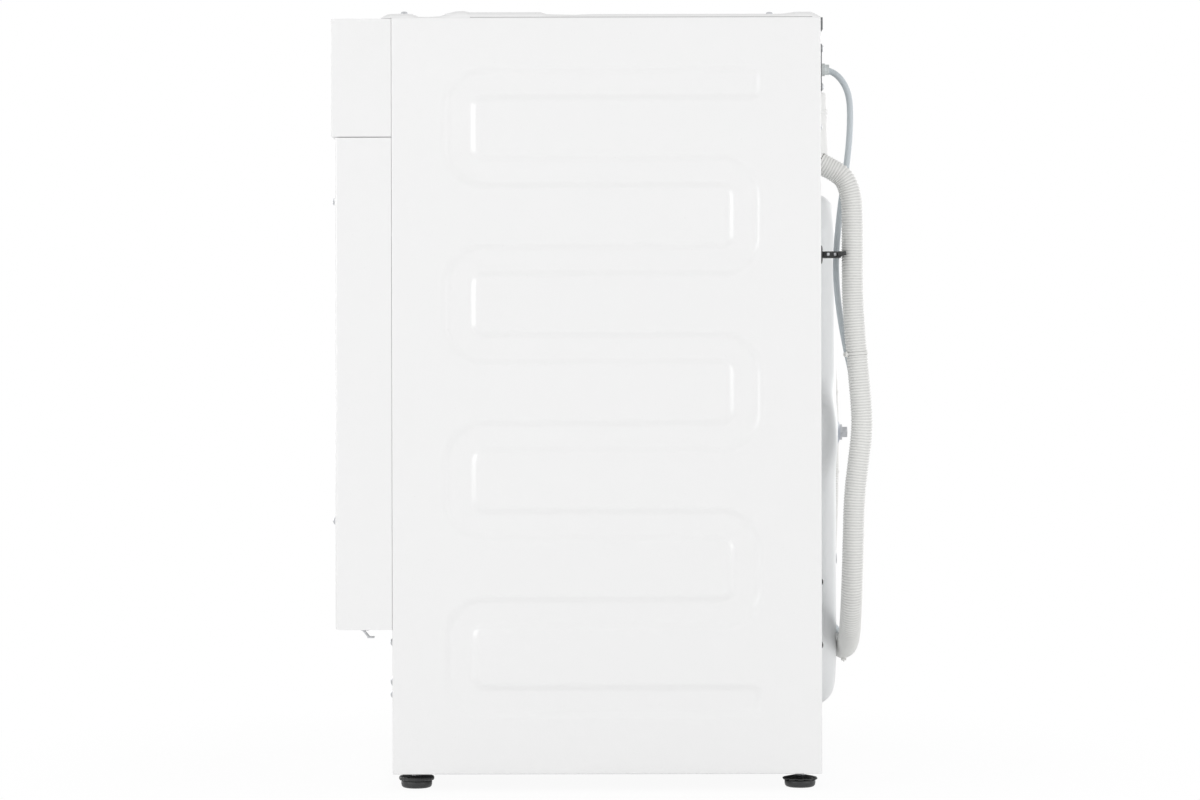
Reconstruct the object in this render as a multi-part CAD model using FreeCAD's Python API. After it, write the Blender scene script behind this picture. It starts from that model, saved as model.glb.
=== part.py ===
import FreeCAD, Part
import math
import os

os.makedirs("parts", exist_ok=True)
V = FreeCAD.Vector
X_AXIS = V(1, 0, 0)
Y_AXIS = V(0, 1, 0)
Z_AXIS = V(0, 0, 1)

# Overall sizes in mm: the front faces -Y, Z points up, the floor is at Z = 0
WIDTH = 595.0
HEIGHT = 820.0
CABINET_DEPTH = 452.0
FRONT_DEPTH = 65.0
FASCIA_PROUD = 4.0
FASCIA_HEIGHT = 124.5
FASCIA_DROP = 1.0
PLINTH_HEIGHT = 152.5
FOOT_HEIGHT = 17.5
TOP_PROUD = 4.5
KNOB_PROUD = 9.0
BULGE_DEPTH = 24.0

# Sheet, plastic walls and clearances
SHEET = 1.0
WALL = 2.5
JOINT_GAP = 1.2
SLIP = 0.4
RUN_FIT = 0.05
PANEL_FIT = 0.5
SEAM = 0.8
CUT = 1.0

# Pressed zigzag rib of the side panels
RIB_WIDTH = 36.0
RIB_DEPTH = 3.0
RIB_SLOPE = 4.0
RIB_PITCH = 93.0
RIB_TURN_RADIUS = 26.0
RIB_TOP_MARGIN = 70.0
RIB_BOTTOM_MARGIN = 74.0
RIB_FRONT_MARGIN = 71.0
RIB_REAR_MARGIN = 80.0
RIB_END_MARGIN = 62.0
FRONT_FLANGE = 20.0
REAR_FLANGE = 22.0
TOP_FLANGE = 15.0
BOTTOM_FLANGE = 25.0

# Feet
FOOT_INSET_X = 35.5
FOOT_INSET_FRONT = 22.5
FOOT_INSET_REAR = 21.5
PAD_RADIUS = 16.5
PAD_HEIGHT = 10.0
PAD_ROUND = 2.5
LOCK_RING_RADIUS = 18.8
LOCK_RING_HEIGHT = 5.5
STUD_RADIUS = 5.0
STUD_LENGTH = 48.0

# Base frame and plinth
PAN_THICKNESS = 3.0
BAR_HEIGHT = 45.0
BAR_DEPTH = 40.0
BAR_SETBACK = 6.0
PLINTH_LIFT = 2.0
PLINTH_DROP = 1.0
FLAP_WIDTH = 98.0
FLAP_HEIGHT = 88.0
FLAP_INSET = 102.5
FLAP_Z = 96.0
FLAP_THICKNESS = 2.5
FLAP_PROUD = 1.0
FLAP_AXIS_RISE = 4.0
FLAP_GAP = 1.2
FLAP_PIN_RADIUS = 1.0
FLAP_EAR = 4.0

# Drum, tub and drive
DRUM_RADIUS = 239.0
DRUM_DEPTH = 306.0
DRUM_SHEET = 1.0
DRUM_MOUTH_RADIUS = 155.0
TUB_GAP = 16.0
TUB_WALL = 3.0
TUB_TOP_CLEAR = 9.0
TUB_MOUTH_RADIUS = 160.0
TUB_MOUTH_LENGTH = 14.0
TUB_INSET = 17.0
DRUM_FRONT_GAP = 9.0
DRUM_MOUTH_LIP = 6.0
DRUM_CORNER = 13.5
LIFTER_HEIGHT = 42.0
LIFTER_WIDTH = 60.0
LIFTER_TIP_WIDTH = 26.0
LIFTER_ROUND = 6.0
LIFTER_FRONT_GAP = 24.0
LIFTER_BACK_GAP = 6.0
LIFTER_COUNT = 3
SPIDER_THICKNESS = 18.0
SPIDER_GAP = 10.0
SPIDER_HUB_RADIUS = 34.0
SPIDER_ARM_WIDTH = 38.0
SPIDER_ARM_STEP = 4.0
SPIDER_EDGE = 5.0
SHAFT_RADIUS = 15.0
SHAFT_TAIL_RADIUS = 12.5
BEARING_FRONT_RADIUS = 31.0
BEARING_REAR_RADIUS = 26.0
BEARING_WIDTH = 15.0
HUB_RADIUS = 40.0
HUB_LENGTH = 48.0
PULLEY_RADIUS = 130.0
PULLEY_WIDTH = 20.0
PULLEY_RIM = 9.0
PULLEY_GAP = 3.0
PULLEY_HUB_RADIUS = 28.0
SPOKE_WIDTH = 16.0
SPOKE_THICKNESS = 6.0
SPOKE_COUNT = 6
SHAFT_TAIL = 4.0
BELT_WIDTH = 16.0
BELT_THICKNESS = 3.0
MOTOR_RADIUS = 45.0
MOTOR_LENGTH = 140.0
MOTOR_X = -150.0
MOTOR_DROP = 293.0
MOTOR_PULLEY_RADIUS = 10.0
MOTOR_SHAFT_RADIUS = 6.0
MOTOR_NOSE = 12.0
MOTOR_NOSE_RADIUS = 27.0
MOTOR_GAP = 26.0
MOTOR_LEG_RADIUS = 11.0
MOTOR_LEG_INSETS = (24.0, 106.0)
MOTOR_SHAFT_INSERT = 23.0
MOTOR_RIM = 2.0
MOTOR_RIM_WIDTH = 1.2
TUB_SPLIT = 212.0
DAMPER_EAR = 22.0
DAMPER_EAR_RADIUS = 11.0
DAMPER_LUG_RADIUS = 14.0
DAMPER_ROD_LENGTH = 60.0
DAMPER_CASE_GAP = 22.0
DAMPER_LUG_BASE = 80.0
DAMPER_INSET = 82.5
DAMPER_RISE = 33.0
DAMPER_SETBACK = 146.0
DAMPER_RADIUS = 11.0
DAMPER_ROD = 5.0
SPRING_INSET = 25.5
SPRING_RADIUS = 9.0
SPRING_WIRE = 1.6
SPRING_PITCH = 8.0
SPRING_SETBACK = 20.0
SPRING_EAR_RISE = 26.0
SPRING_EAR_WIDTH = 12.0
SPRING_EAR_LENGTH = 14.0
SPRING_EAR_DEPTH = 40.0
SPRING_SEAT = 2.4
SPRING_END_GAP = 4.0
HANGER_RISE = 9.0
HANGER_WIDTH = 28.0
HANGER_WALL = 3.0
HANGER_FROM_TOP = 12.0
HEATER_HALF = 25.0
HEATER_ROD = 4.0
HEATER_LENGTH = 130.0
HEATER_OFFSET = 1.5
HEATER_TAIL = 14.0
HEATER_FLANGE = 4.0
HEATER_FLANGE_EDGE = 9.0
HEATER_FLANGE_DROP = 6.0
WEIGHT_HOUSING_GAP = 18.5
WEIGHT_SPRING_GAP = 47.5
WEIGHT_START = 60.0
WEIGHT_LENGTH = 170.0
WEIGHT_RISE = 42.0
WEIGHT_REACH = 45.0
RING_WEIGHT_BORE = 185.0
RING_WEIGHT_THICKNESS = 16.0
RING_WEIGHT_EDGE = 4.0
PUMP_RADIUS = 36.0
PUMP_LENGTH = 76.0
PUMP_SETBACK = 18.0
PUMP_MOTOR_RADIUS = 26.0
PUMP_MOTOR_LENGTH = 46.0
PUMP_WALL = 4.5
PUMP_BACK = 6.0
PUMP_INLET_SETBACK = 50.0
PUMP_LEG_WIDTH = 28.0
PUMP_SPIGOT = 14.0
PUMP_SPIGOT_RADIUS = 16.0
PUMP_SPIGOT_BORE = 13.0
PUMP_OUTLET_RADIUS = 9.0
PUMP_OUTLET_BORE = 7.0
PUMP_OUTLET_LENGTH = 12.0
PUMP_OUTLET_SETBACK = 14.0
FILTER_WAY_GAP = 4.0
TUBE_WALL = 2.0
DRAIN_INSET = 27.0
DRAIN_LEAD = 20.0
DRAIN_APPROACH = 30.0
DRAIN_TURN = (24.0, 12.0)
DRAIN_RUN = (90.0, 50.0)
DRAIN_RISE = 110.0
DRAIN_DROP = 60.0
DRAIN_BEHIND = 24.0
FILL_LEAD = 30.0
FILL_DROP = 12.0
SUMP_SPIGOT = 16.0
IMPELLER_RADIUS = 22.0
IMPELLER_SHAFT = 3.0
IMPELLER_SHAFT_LENGTH = 22.0
IMPELLER_HUB_RADIUS = 6.0
IMPELLER_WIDTH = 13.0
IMPELLER_GAP = 1.0
VANE_THICKNESS = 2.4
VANE_COUNT = 4
FILTER_DISC = 5.0
FILTER_GRIP = 8.0
FILTER_GRIP_RISE = 8.0
FILTER_GRIP_EDGE = 6.0
FILTER_PLUG_LENGTH = 39.0
FILTER_WALL = 3.0

# Porthole door
DISH_RADIUS = 224.0
DISH_DEPTH = 21.0
MOUTH_RADIUS = 164.0
MOUTH_RIM = 8.0
PANEL_ROUND = 3.0
DOOR_RADIUS = 204.0
DOOR_PROUD = 5.0
DOOR_BACK_GAP = 5.0
OUTER_RING_DEPTH = 12.0
OUTER_RING_SLOPE = 8.0
OUTER_RING_SHOULDER = 7.0
WINDOW_BEVEL = 4.0
INNER_RING_INSET = 3.0
INNER_RING_TAPER = 3.0
BOWL_GAP = 3.0
DOOR_WINDOW_RADIUS = 146.0
GLASS_FLANGE_RADIUS = 160.0
GLASS_THICKNESS = 4.0
BOWL_RADIUS = 150.0
BOWL_END_RADIUS = 122.0
BOWL_DEPTH = 95.0
BOWL_CROWN = 2.0
BOWL_CORNER = 12.0
BOWL_CORNER_DEPTH = 8.0
HINGE_OFFSET = 7.0
HINGE_PROUD = 1.75
HINGE_HALF = 30.0
HINGE_LUG = 10.0
HINGE_LUG_WIDTH = 9.0
HINGE_LUG_PROUD = 4.0
HINGE_END_GAP = 0.5
HINGE_ARM_ROOT = 14.0
HINGE_PIN_RADIUS = 2.5
KNUCKLE_RADIUS = 4.5
HANDLE_WIDTH = 24.0
HANDLE_MARGIN = 6.0
HANDLE_HALF = 32.0
HANDLE_PLATE = 4.0
HANDLE_SINK = 1.0
HANDLE_ROUND = 1.2
HANDLE_HEEL = 3.0
HANDLE_POCKET = 9.0
HANDLE_PIVOT_DEPTH = 4.0
HANDLE_PIN_RADIUS = 1.5
HANDLE_PIN_END = 5.0
HOOK_LENGTH = 36.0
HOOK_START = 3.0
HOOK_THICKNESS = 4.0
HOOK_TIP = 7.0
HOOK_TIP_HEIGHT = 5.0
HOOK_HALF = 5.0
HOOK_SIDE_GAP = 2.0
HOOK_SLOT_START = 1.5
HOOK_SLOT_END = 20.0
LOCK_SLOT_START = 1.0
LOCK_SLOT_END = 22.0
LOCK_SLOT_HALF = 9.0
LOCK_SLOT_DEPTH = 17.0
LOCK_DEPTH = 20.0
LOCK_WIDTH = 35.0
LOCK_HALF = 45.0
LIP_GAP = 0.8
GASKET_LIP_DEPTH = 9.0
GASKET_LIP_WIDTH = 3.0
GASKET_FLANGE = 6.0
GASKET_FLANGE_PROUD = 2.5
GASKET_WALL = 3.2
GASKET_FOLD = 14.0
GASKET_FOLD_END = 30.0
DOME_FROM_TOP = 67.0
DOME_FROM_BOTTOM = 115.0
DECOR_INSET = 26.0
DECOR_PITCH = 32.0
DECOR_FROM_DOME = 40.0
DECOR_HOLE_RADIUS = 2.6

# Control fascia, drawer, knob and buttons
DRAWER_MARGIN = 14.0
DRAWER_WIDTH = 165.0
DRAWER_SINK = 12.0
DRAWER_FRONT = 16.0
DRAWER_GAP = 1.0
DRAWER_ROUND = 1.2
SCOOP_RADIUS = 13.0
SCOOP_HALF = 45.0
SCOOP_RISE = 16.0
SCOOP_PROUD = 2.0
TRAY_INSET = 2.0
BAY_COUNT = 3
TRAY_LENGTH = 200.0
TRAY_HEIGHT = 62.0
TRAY_WALL = 1.8
HOUSING_WALL = 2.0
HOUSING_GAP = 3.0
HOUSING_BACK_GAP = 10.0
FASCIA_ROUND = 2.2
HOUSING_RISE = 7.0
TRAY_RISE = 4.0
RAIL_INSET = 10.0
RAIL_WIDTH = 6.0
KNOB_RADIUS = 26.0
KNOB_OFFSET = 58.5
KNOB_SHAFT_RADIUS = 4.0
KNOB_GAP = 0.6
KNOB_ROUND = 2.0
KNOB_FLUTES = 24
FLUTE_RADIUS = 2.0
FLUTE_OFFSET = 1.2
MARK_WIDTH = 2.0
MARK_LENGTH = 9.0
MARK_INSET = 3.0
MARK_DEPTH = 1.0
DISPLAY_KNOB_GAP = 39.0
DISPLAY_BUTTON_GAP = 20.0
DISPLAY_HEIGHT = 42.0
BUTTON_WIDTH = 30.0
BUTTON_HEIGHT = 16.0
BUTTON_PROUD = 1.8
BUTTON_ROUND = 0.8
BUTTON_STEM = 6.0
COLLAR_EDGE = 2.0
COLLAR_END = 3.0
BUTTON_INSETS = (147.5, 99.5, 51.5)
BUTTON_NAMES = ("option_button", "start_button", "power_button")
BOARD_SETBACK = 24.0
BOARD_THICKNESS = 2.0
POST_RADIUS = 3.5
POST_KNOB_OFFSET = 36.0
POST_BUTTON_OFFSET = 24.0
POST_HALF = 34.0
BOARD_EDGE = 8.0
BOARD_HALF = 42.0
# Chips on the board as (offset from the knob, width, height above the board, length)
CHIPS = ((60.0, 40.0, 18.0, 34.0), (120.0, 26.0, 14.0, 26.0), (180.0, 30.0, 20.0, 44.0),
         (235.0, 22.0, 24.0, 22.0))

# Back of the machine
BULGE_HALF = 182.0
BULGE_RUN = 27.0
BULGE_BOTTOM = 91.0
BULGE_FROM_TOP = 181.5
BULGE_CORNER = 60.0
SERVICE_RADIUS = 145.0
SERVICE_OPENING = 134.0
SERVICE_RISE = 2.0
SERVICE_LAND = 22.0
SERVICE_SLOPE = 8.0
TRANSIT_OFFSETS = ((165.0, -53.5), (-165.0, -53.5), (0.0, -199.5))
TRANSIT_BOSS = 26.0
BOSS_EDGE = 2.0
BOLT_END_GAP = 2.0
BUSH_BEVEL = 0.8
BUSH_BEVEL_RISE = 1.6
BUSH_FLANGE_RADIUS = 15.5
BUSH_FLANGE = 4.7
BUSH_RADIUS = 12.0
TRANSIT_WASHER = 2.1
TRANSIT_WASHER_RADIUS = 8.5
BOLT_HEAD = 5.7
BOLT_HEAD_RADIUS = 6.5
BOLT_RADIUS = 4.0
PLATE_INSET = 57.5
PLATE_FROM_TOP = 50.2
PLATE_WIDTH = 56.0
PLATE_HEIGHT = 50.4
PLATE_PROUD = 3.0
PLATE_ROUND = 3.0
BRACKET_INSET = 3.0
BRACKET_WIDTH = 44.0
BRACKET_HEIGHT = 12.8
BRACKET_DROP = 0.2
BRACKET_THICKNESS = 2.2
GLAND_INSET = 65.5
GLAND_FROM_TOP = 49.5
GLAND_RADIUS = 6.8
GLAND_LENGTH = 10.0
GLAND_COLLAR = 5.5
GLAND_NOSE_STEP = 1.2
GLAND_STEM_STEP = 1.0
GLAND_NUT_STEP = 2.0
GLAND_NUT = 4.0
GLAND_NUT_GAP = 2.0
VALVE_INSET = 97.5
VALVE_FROM_TOP = 47.5
VALVE_DEPTH = 60.0
PORT_RADIUS = 13.2
PORT_LENGTH = 16.0
PORT_WALL = 4.0
VALVE_SPIGOT = 12.0
VALVE_SPIGOT_RADIUS = 6.0
VALVE_HALF_WIDTH = 20.0
VALVE_HALF_HEIGHT = 18.0
COIL_RADIUS = 12.0
COIL_LENGTH = 36.0
COIL_RISE = 10.0

# Drain hose and mains cable
HOSE_INSET = 45.5
HOSE_RADIUS = 11.3
HOSE_ROOT = 10.0
HOSE_BORE = 8.0
HOSE_RIBS = 200
CUFF_RADIUS = 12.5
CUFF_LENGTH = 55.0
CABLE_RADIUS = 3.3
OUTLET_FROM_TOP = 152.6
OUTLET_TILT = 29.0
OUTLET_PROUD = 4.7
OUTLET_PIPE_RADIUS = 12.6
OUTLET_PIPE_LENGTH = 66.0
OUTLET_PIPE_RISE = 10.6
OUTLET_RING_RADIUS = 13.6
OUTLET_RING_RISE = 53.6
OUTLET_RING = 4.0
OUTLET_COLLAR_EDGE = 1.5
OUTLET_COLLAR = 26.0
OUTLET_NIPPLE = 11.0
OUTLET_STUB_RADIUS = 8.6
OUTLET_STUB = 18.0
OUTLET_NECK = 7.0
OUTLET_SINK = 2.0
CLIP_DROP = 96.9
CLIP_BASE_WIDTH = 24.0
CLIP_BASE_HEIGHT = 19.0
CLIP_BASE = 1.2
CLIP_ARM_WIDTH = 12.0
CLIP_ARM_HEIGHT = 7.2
CLIP_JAW_WIDTH = 24.0
CLIP_JAW_START = 14.5
CLIP_JAW_END = 9.3
CLIP_FIT = 0.3
CORD_GAP = 1.6
CABLE_SWING = 4.0
TIE_WIDTH = 4.0
TIE_THICKNESS = 1.2
TIE_GAP = 0.3
PLUG_NECK = 22.0
PLUG_NECK_RADIUS = 5.0
PLUG_SHOULDER_RADIUS = 12.0
PLUG_RADIUS = 18.0
PLUG_LENGTH = 18.0
PLUG_ROUND = 3.0
PLUG_PIN_RADIUS = 2.4
PLUG_PIN_LENGTH = 19.0
PLUG_PIN_PITCH = 19.0

# Hose: near leg as (distance past the bulge, share of the drop from clip to bend), bend as (inset, height)
HOSE_LEG = ((2.7, 0.0), (6.2, 0.276), (11.2, 0.566), (6.7, 0.807))
HOSE_BEND = ((2.0, 241.0), (16.0, 189.0), (53.0, 154.0), (112.0, 139.0), (187.0, 134.0))
HOSE_BEND_OUT = 1.7
HOSE_CLIP_RISE = 50.0
HOSE_ELBOW = (32.0, 26.0)
HOSE_CLIP_LEAN = 1.2
FAR_LEG = ((0.0, 0.24), (0.6, 0.6), (0.0, 0.9), (0.0, 1.02))
# Cable: legs as (inset from the side, distance from the back, share of the drop or of the rise to the clip)
CABLE_LEG = ((65.5, 16.5, 0.0), (66.0, 27.5, 0.0145), (67.0, 34.2, 0.0415), (68.5, 36.6, 0.092),
             (70.0, 34.0, 0.178), (71.0, 26.0, 0.272), (71.0, 20.5, 0.375), (69.0, 22.5, 0.457),
             (64.0, 28.5, 0.543), (58.5, 33.0, 0.645), (59.5, 33.0, 0.762), (60.5, 29.0, 0.89),
             (63.0, 31.0, 0.97))
CABLE_FAR = ((62.6, 37.5, 0.05), (61.0, 38.0, 0.24), (60.6, 38.0, 0.45), (61.5, 37.5, 0.62),
             (65.0, 34.0, 0.75), (69.5, 27.5, 0.84), (73.2, 21.8, 0.92), (73.5, 21.0, 0.975))
# Ties: on a leg as (side, height), on the bend as (x, None)
TIE_SPOTS = ((1, 461.0), (100.0, None), (-100.0, None), (-1, 325.0), (-1, 420.0))

# Top cover: raised fields as (start, end, drop), the last one measured from the back
TOP_FIELDS = ((-9.0, 26.0, 1.3), (33.0, 155.0, 0.0))
TOP_REAR_FIELD = (46.0, 4.0, 0.5)
TOP_OVERHANG = 12.0
TOP_INSET = 2.0
TOP_FIELD_INSET = 8.0
TOP_SLOPE = 7.0

# Screws
SCREW_RADIUS = 4.2
SCREW_HEAD = 2.6
DOME_RADIUS = 4.4
DOME_HEAD = 3.2
DOME_INSET = 12.0
SCREW_INSET = 18.0
TOP_SCREW_HEAD = 1.3
TOP_SCREW_FRONT = 8.5
TOP_SCREW_REAR = 54.0
PLINTH_SCREW_INSET = 14.0
PLINTH_KNOB_Z = 115.0
PLINTH_KNOB_RADIUS = 6.0
PLINTH_KNOB_HEAD = 3.0
REAR_SCREW_ZS = (152.0, 219.0)
REAR_SCREW_FROM_TOP = 115.0
PLATE_SCREW_HALF = 20.4
PLATE_SCREW_INSET = 6.0
SERVICE_SCREWS = 6
SERVICE_SCREW_INSET = 7.0
HOOK_SETBACK = 26.0
HOOK_INSET = 24.0
HOOK_WIDTH = 12.0
HOOK_STRIP = 1.4
HOOK_TAB = 8.0
HOOK_DROP = 6.6
HOOK_LEAN = 5.5
HOOK_LEG = 2.0
HOOK_FOOT = 5.0

# Positions worked out from the sizes
transit_proud = BUSH_FLANGE + TRANSIT_WASHER + BOLT_HEAD
x_side = WIDTH / 2
y_front = -(KNOB_PROUD + FRONT_DEPTH + CABINET_DEPTH + BULGE_DEPTH + transit_proud) / 2
y_fascia = y_front + KNOB_PROUD
y_panel = y_fascia + FASCIA_PROUD
y_cab = y_fascia + FRONT_DEPTH
y_back = y_cab + CABINET_DEPTH
y_bulge = y_back + BULGE_DEPTH
flap_x = x_side - FLAP_INSET
z_base = FOOT_HEIGHT
z_side = HEIGHT - TOP_PROUD
z_fascia_top = z_side - FASCIA_DROP
z_fascia = z_fascia_top - FASCIA_HEIGHT
z_controls = (z_fascia + z_fascia_top) / 2
z_lower = z_base + PLINTH_HEIGHT
z_lower_top = z_fascia - SEAM
z_pan = z_base + SHEET
z_housing = z_fascia + HOUSING_RISE
tub_radius = DRUM_RADIUS + TUB_GAP + TUB_WALL
z_drum = z_housing - TUB_TOP_CLEAR - tub_radius
y_tub = y_cab + TUB_INSET
y_drum = y_tub + TUB_WALL + DRUM_FRONT_GAP
y_drum_back = y_drum + DRUM_DEPTH
y_tub_inner = y_drum_back + SPIDER_THICKNESS + SPIDER_GAP
y_tub_back = y_tub_inner + TUB_WALL
y_hub_end = y_tub_inner + HUB_LENGTH
y_pulley = y_hub_end + PULLEY_GAP
y_floor = y_panel + DISH_DEPTH
y_door = y_panel - DOOR_PROUD
y_door_back = y_floor - DOOR_BACK_GAP
y_hinge = y_panel - HINGE_PROUD
x_hinge = -(DOOR_RADIUS + HINGE_OFFSET)
x_handle = DOOR_RADIUS - HANDLE_MARGIN - HANDLE_WIDTH
y_pivot = y_door + HANDLE_PIVOT_DEPTH
y_sheet_back = y_back - SHEET
transit_spots = [(x, z_drum + dz) for x, dz in TRANSIT_OFFSETS]
bulge_top = z_side - BULGE_FROM_TOP
plate_x = x_side - PLATE_INSET
plate_z = z_side - PLATE_FROM_TOP
gland_x = x_side - GLAND_INSET
gland_z = z_side - GLAND_FROM_TOP
valve_x = -x_side + VALVE_INSET
valve_z = z_side - VALVE_FROM_TOP
y_valve = y_sheet_back - VALVE_DEPTH
hose_x = x_side - HOSE_INSET
hose_off = BULGE_DEPTH + HOSE_RADIUS
outlet_z = z_side - OUTLET_FROM_TOP
clip_z = outlet_z - CLIP_DROP
dome_zs = (z_lower_top - DOME_FROM_TOP, z_lower + DOME_FROM_BOTTOM)
decor_zs = (dome_zs[0] - DECOR_FROM_DOME, dome_zs[1] + DECOR_FROM_DOME)
y_housing_end = y_fascia + DRAWER_FRONT + TRAY_LENGTH + HOUSING_BACK_GAP
drawer_x0 = -x_side + DRAWER_MARGIN
drawer_x1 = drawer_x0 + DRAWER_WIDTH
drawer_z0 = z_fascia + DRAWER_SINK
drawer_z1 = z_fascia_top - DRAWER_SINK
z_tray = drawer_z0 + TRAY_RISE
knob_x = drawer_x1 + KNOB_OFFSET
button_xs = [x_side - inset for inset in BUTTON_INSETS]
tub_split = y_tub + TUB_SPLIT
damper_y = y_tub + DAMPER_SETBACK
damper_reach = math.hypot(x_side - DAMPER_INSET, z_drum - z_pan - DAMPER_RISE)
heater_reach = DRUM_RADIUS + TUB_GAP / 2 + HEATER_OFFSET
z_heater = z_drum - math.sqrt(heater_reach ** 2 - HEATER_HALF ** 2)
sump_reach = math.hypot(flap_x, z_drum - FLAP_Z)
y_flap = y_cab - SHEET - FLAP_PROUD + FLAP_THICKNESS / 2
z_flap = FLAP_Z - FLAP_HEIGHT / 2 + FLAP_AXIS_RISE
pump_front = y_cab + PUMP_SETBACK
pump_y = pump_front + PUMP_INLET_SETBACK


def box(x0, x1, y0, y1, z0, z1):
    return Part.makeBox(x1 - x0, y1 - y0, z1 - z0, V(x0, y0, z0))


def rod(start, direction, radius, length):
    return Part.makeCylinder(radius, length, V(*start), V(*direction))


def pipe(start, direction, radius, bore, length):
    return rod(start, direction, radius, length).cut(rod(start, direction, bore, length))


def turned(profile, x, z):
    """A ring or bowl: the (radius, y) outline turned about the Y line through x, z."""
    points = [V(x + r, y, z) for r, y in profile]
    face = Part.Face(Part.makePolygon(points + points[:1]))
    return face.revolve(V(x, 0, z), Y_AXIS, 360)


def fuse_all(shapes):
    return shapes[0].multiFuse(shapes[1:]).removeSplitter()


def edges_at(shape, pick):
    return [e for e in shape.Edges if pick(e)]


def front_edges(shape, y):
    """Edges that lie in the plane of the front face."""
    return edges_at(shape, lambda e: abs(e.BoundBox.YMin - y) + abs(e.BoundBox.YMax - y) < 0.02)


def rounded_rectangle(x0, x1, z0, z1, radius, y):
    """Closed outline in the XZ plane with four round corners."""
    c = radius * (1 - math.sqrt(0.5))
    lines = [
        (V(x0 + radius, y, z0), V(x1 - radius, y, z0)),
        (V(x1, y, z0 + radius), V(x1, y, z1 - radius)),
        (V(x1 - radius, y, z1), V(x0 + radius, y, z1)),
        (V(x0, y, z1 - radius), V(x0, y, z0 + radius)),
    ]
    mids = [V(x1 - c, y, z0 + c), V(x1 - c, y, z1 - c), V(x0 + c, y, z1 - c), V(x0 + c, y, z0 + c)]
    edges = []
    for i in range(4):
        edges.append(Part.LineSegment(*lines[i]).toShape())
        edges.append(Part.Arc(lines[i][1], mids[i], lines[(i + 1) % 4][0]).toShape())
    return Part.Wire(edges)


def mirrored(shape):
    return shape.mirror(V(0, 0, 0), X_AXIS)


def radial(angle_x, angle_z):
    """Unit direction from the drum axis towards the point angle_x, angle_z."""
    d = V(angle_x, 0, angle_z - z_drum)
    return d.normalize()


def radial_rod(direction, y, radius, start, end):
    at = V(0, y, z_drum) + direction * start
    return Part.makeCylinder(radius, end - start, at, direction)


def tub_cylinder(radius):
    return rod((0, y_tub - 100, z_drum), (0, 1, 0), radius, y_tub_back - y_tub + 200)


def two_circle_loop(c0, r0, c1, r1, place):
    """Outline of a loop drawn tight around two circles; place turns (a, b) into a point."""
    across = math.hypot(c1[0] - c0[0], c1[1] - c0[1])
    heading = math.atan2(c1[1] - c0[1], c1[0] - c0[0])
    lean = math.acos((r0 - r1) / across)

    def on(c, r, angle):
        return place(c[0] + r * math.cos(angle), c[1] + r * math.sin(angle))

    up = heading + lean
    down = heading - lean
    edges = [
        Part.LineSegment(on(c0, r0, down), on(c1, r1, down)).toShape(),
        Part.Arc(on(c1, r1, down), on(c1, r1, heading), on(c1, r1, up)).toShape(),
        Part.LineSegment(on(c1, r1, up), on(c0, r0, up)).toShape(),
        Part.Arc(on(c0, r0, up), on(c0, r0, heading + math.pi), on(c0, r0, down)).toShape(),
    ]
    return Part.Wire(edges)


def band(c0, r0, c1, r1, thickness, place, along):
    """A strap of even thickness around two circles, as wide as the vector along."""
    outer = Part.Face(two_circle_loop(c0, r0 + thickness, c1, r1 + thickness, place))
    inner = Part.Face(two_circle_loop(c0, r0, c1, r1, place))
    return outer.cut(inner).extrude(along)


def screw(at, direction, radius=SCREW_RADIUS, head=SCREW_HEAD):
    """Domed head standing on a face."""
    rim = head * 0.25
    rise = head - rim
    ball = (radius * radius + rise * rise) / (2 * rise)
    half = math.asin(radius / ball) / 2
    middle = V(ball * math.sin(half), 0, head - ball + ball * math.cos(half))
    edges = [
        Part.LineSegment(V(0, 0, 0), V(radius, 0, 0)).toShape(),
        Part.LineSegment(V(radius, 0, 0), V(radius, 0, rim)).toShape(),
        Part.Arc(V(radius, 0, rim), middle, V(0, 0, head)).toShape(),
        Part.LineSegment(V(0, 0, head), V(0, 0, 0)).toShape(),
    ]
    dome = Part.Face(Part.Wire(edges)).revolve(V(0, 0, 0), Z_AXIS, 360)
    dome.Placement = FreeCAD.Placement(V(*at), FreeCAD.Rotation(Z_AXIS, V(*direction)))
    return dome


# Side panels

rib_top = z_side - RIB_TOP_MARGIN
rib_runs = int((z_side - z_base - RIB_TOP_MARGIN - RIB_BOTTOM_MARGIN) / RIB_PITCH + 1e-6) + 1
rib_front = y_cab + RIB_FRONT_MARGIN
rib_rear = y_back - RIB_REAR_MARGIN


def rib_path():
    """Corner points (y, z) of the zigzag, from its top rear end to its last end."""
    points = [(y_back - RIB_END_MARGIN, rib_top)]
    for i in range(rib_runs):
        turn = rib_front if i % 2 == 0 else rib_rear
        z = rib_top - i * RIB_PITCH
        if i < rib_runs - 1:
            points.append((turn, z))
            points.append((turn, z - RIB_PITCH))
        elif i % 2 == 0:
            points.append((rib_front - RIB_WIDTH / 2, z))
        else:
            points.append((y_back - RIB_END_MARGIN, z))
    return [V(a, b, 0) for a, b in points]


def left_of(d):
    return V(-d.y, d.x, 0)


def band_side(points, half, x):
    """Edges along the left side of the zigzag band, with an arc at every corner."""
    edges = []
    here = None
    for i, p in enumerate(points):
        if i == 0:
            here = p + left_of((points[1] - p).normalize()) * half
            continue
        d0 = (p - points[i - 1]).normalize()
        if i == len(points) - 1:
            end = p + left_of(d0) * half
            edges.append((here, None, end))
            break
        d1 = (points[i + 1] - p).normalize()
        turn = 1 if d0.x * d1.y - d0.y * d1.x > 0 else -1
        t0 = p - d0 * RIB_TURN_RADIUS
        t1 = p + d1 * RIB_TURN_RADIUS
        centre = t0 + left_of(d0) * (turn * RIB_TURN_RADIUS)
        a = t0 + left_of(d0) * half
        b = t1 + left_of(d1) * half
        m = centre + (p - centre).normalize() * (RIB_TURN_RADIUS - turn * half)
        edges.append((here, None, a))
        edges.append((a, m, b))
        here = b
    return edges


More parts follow.
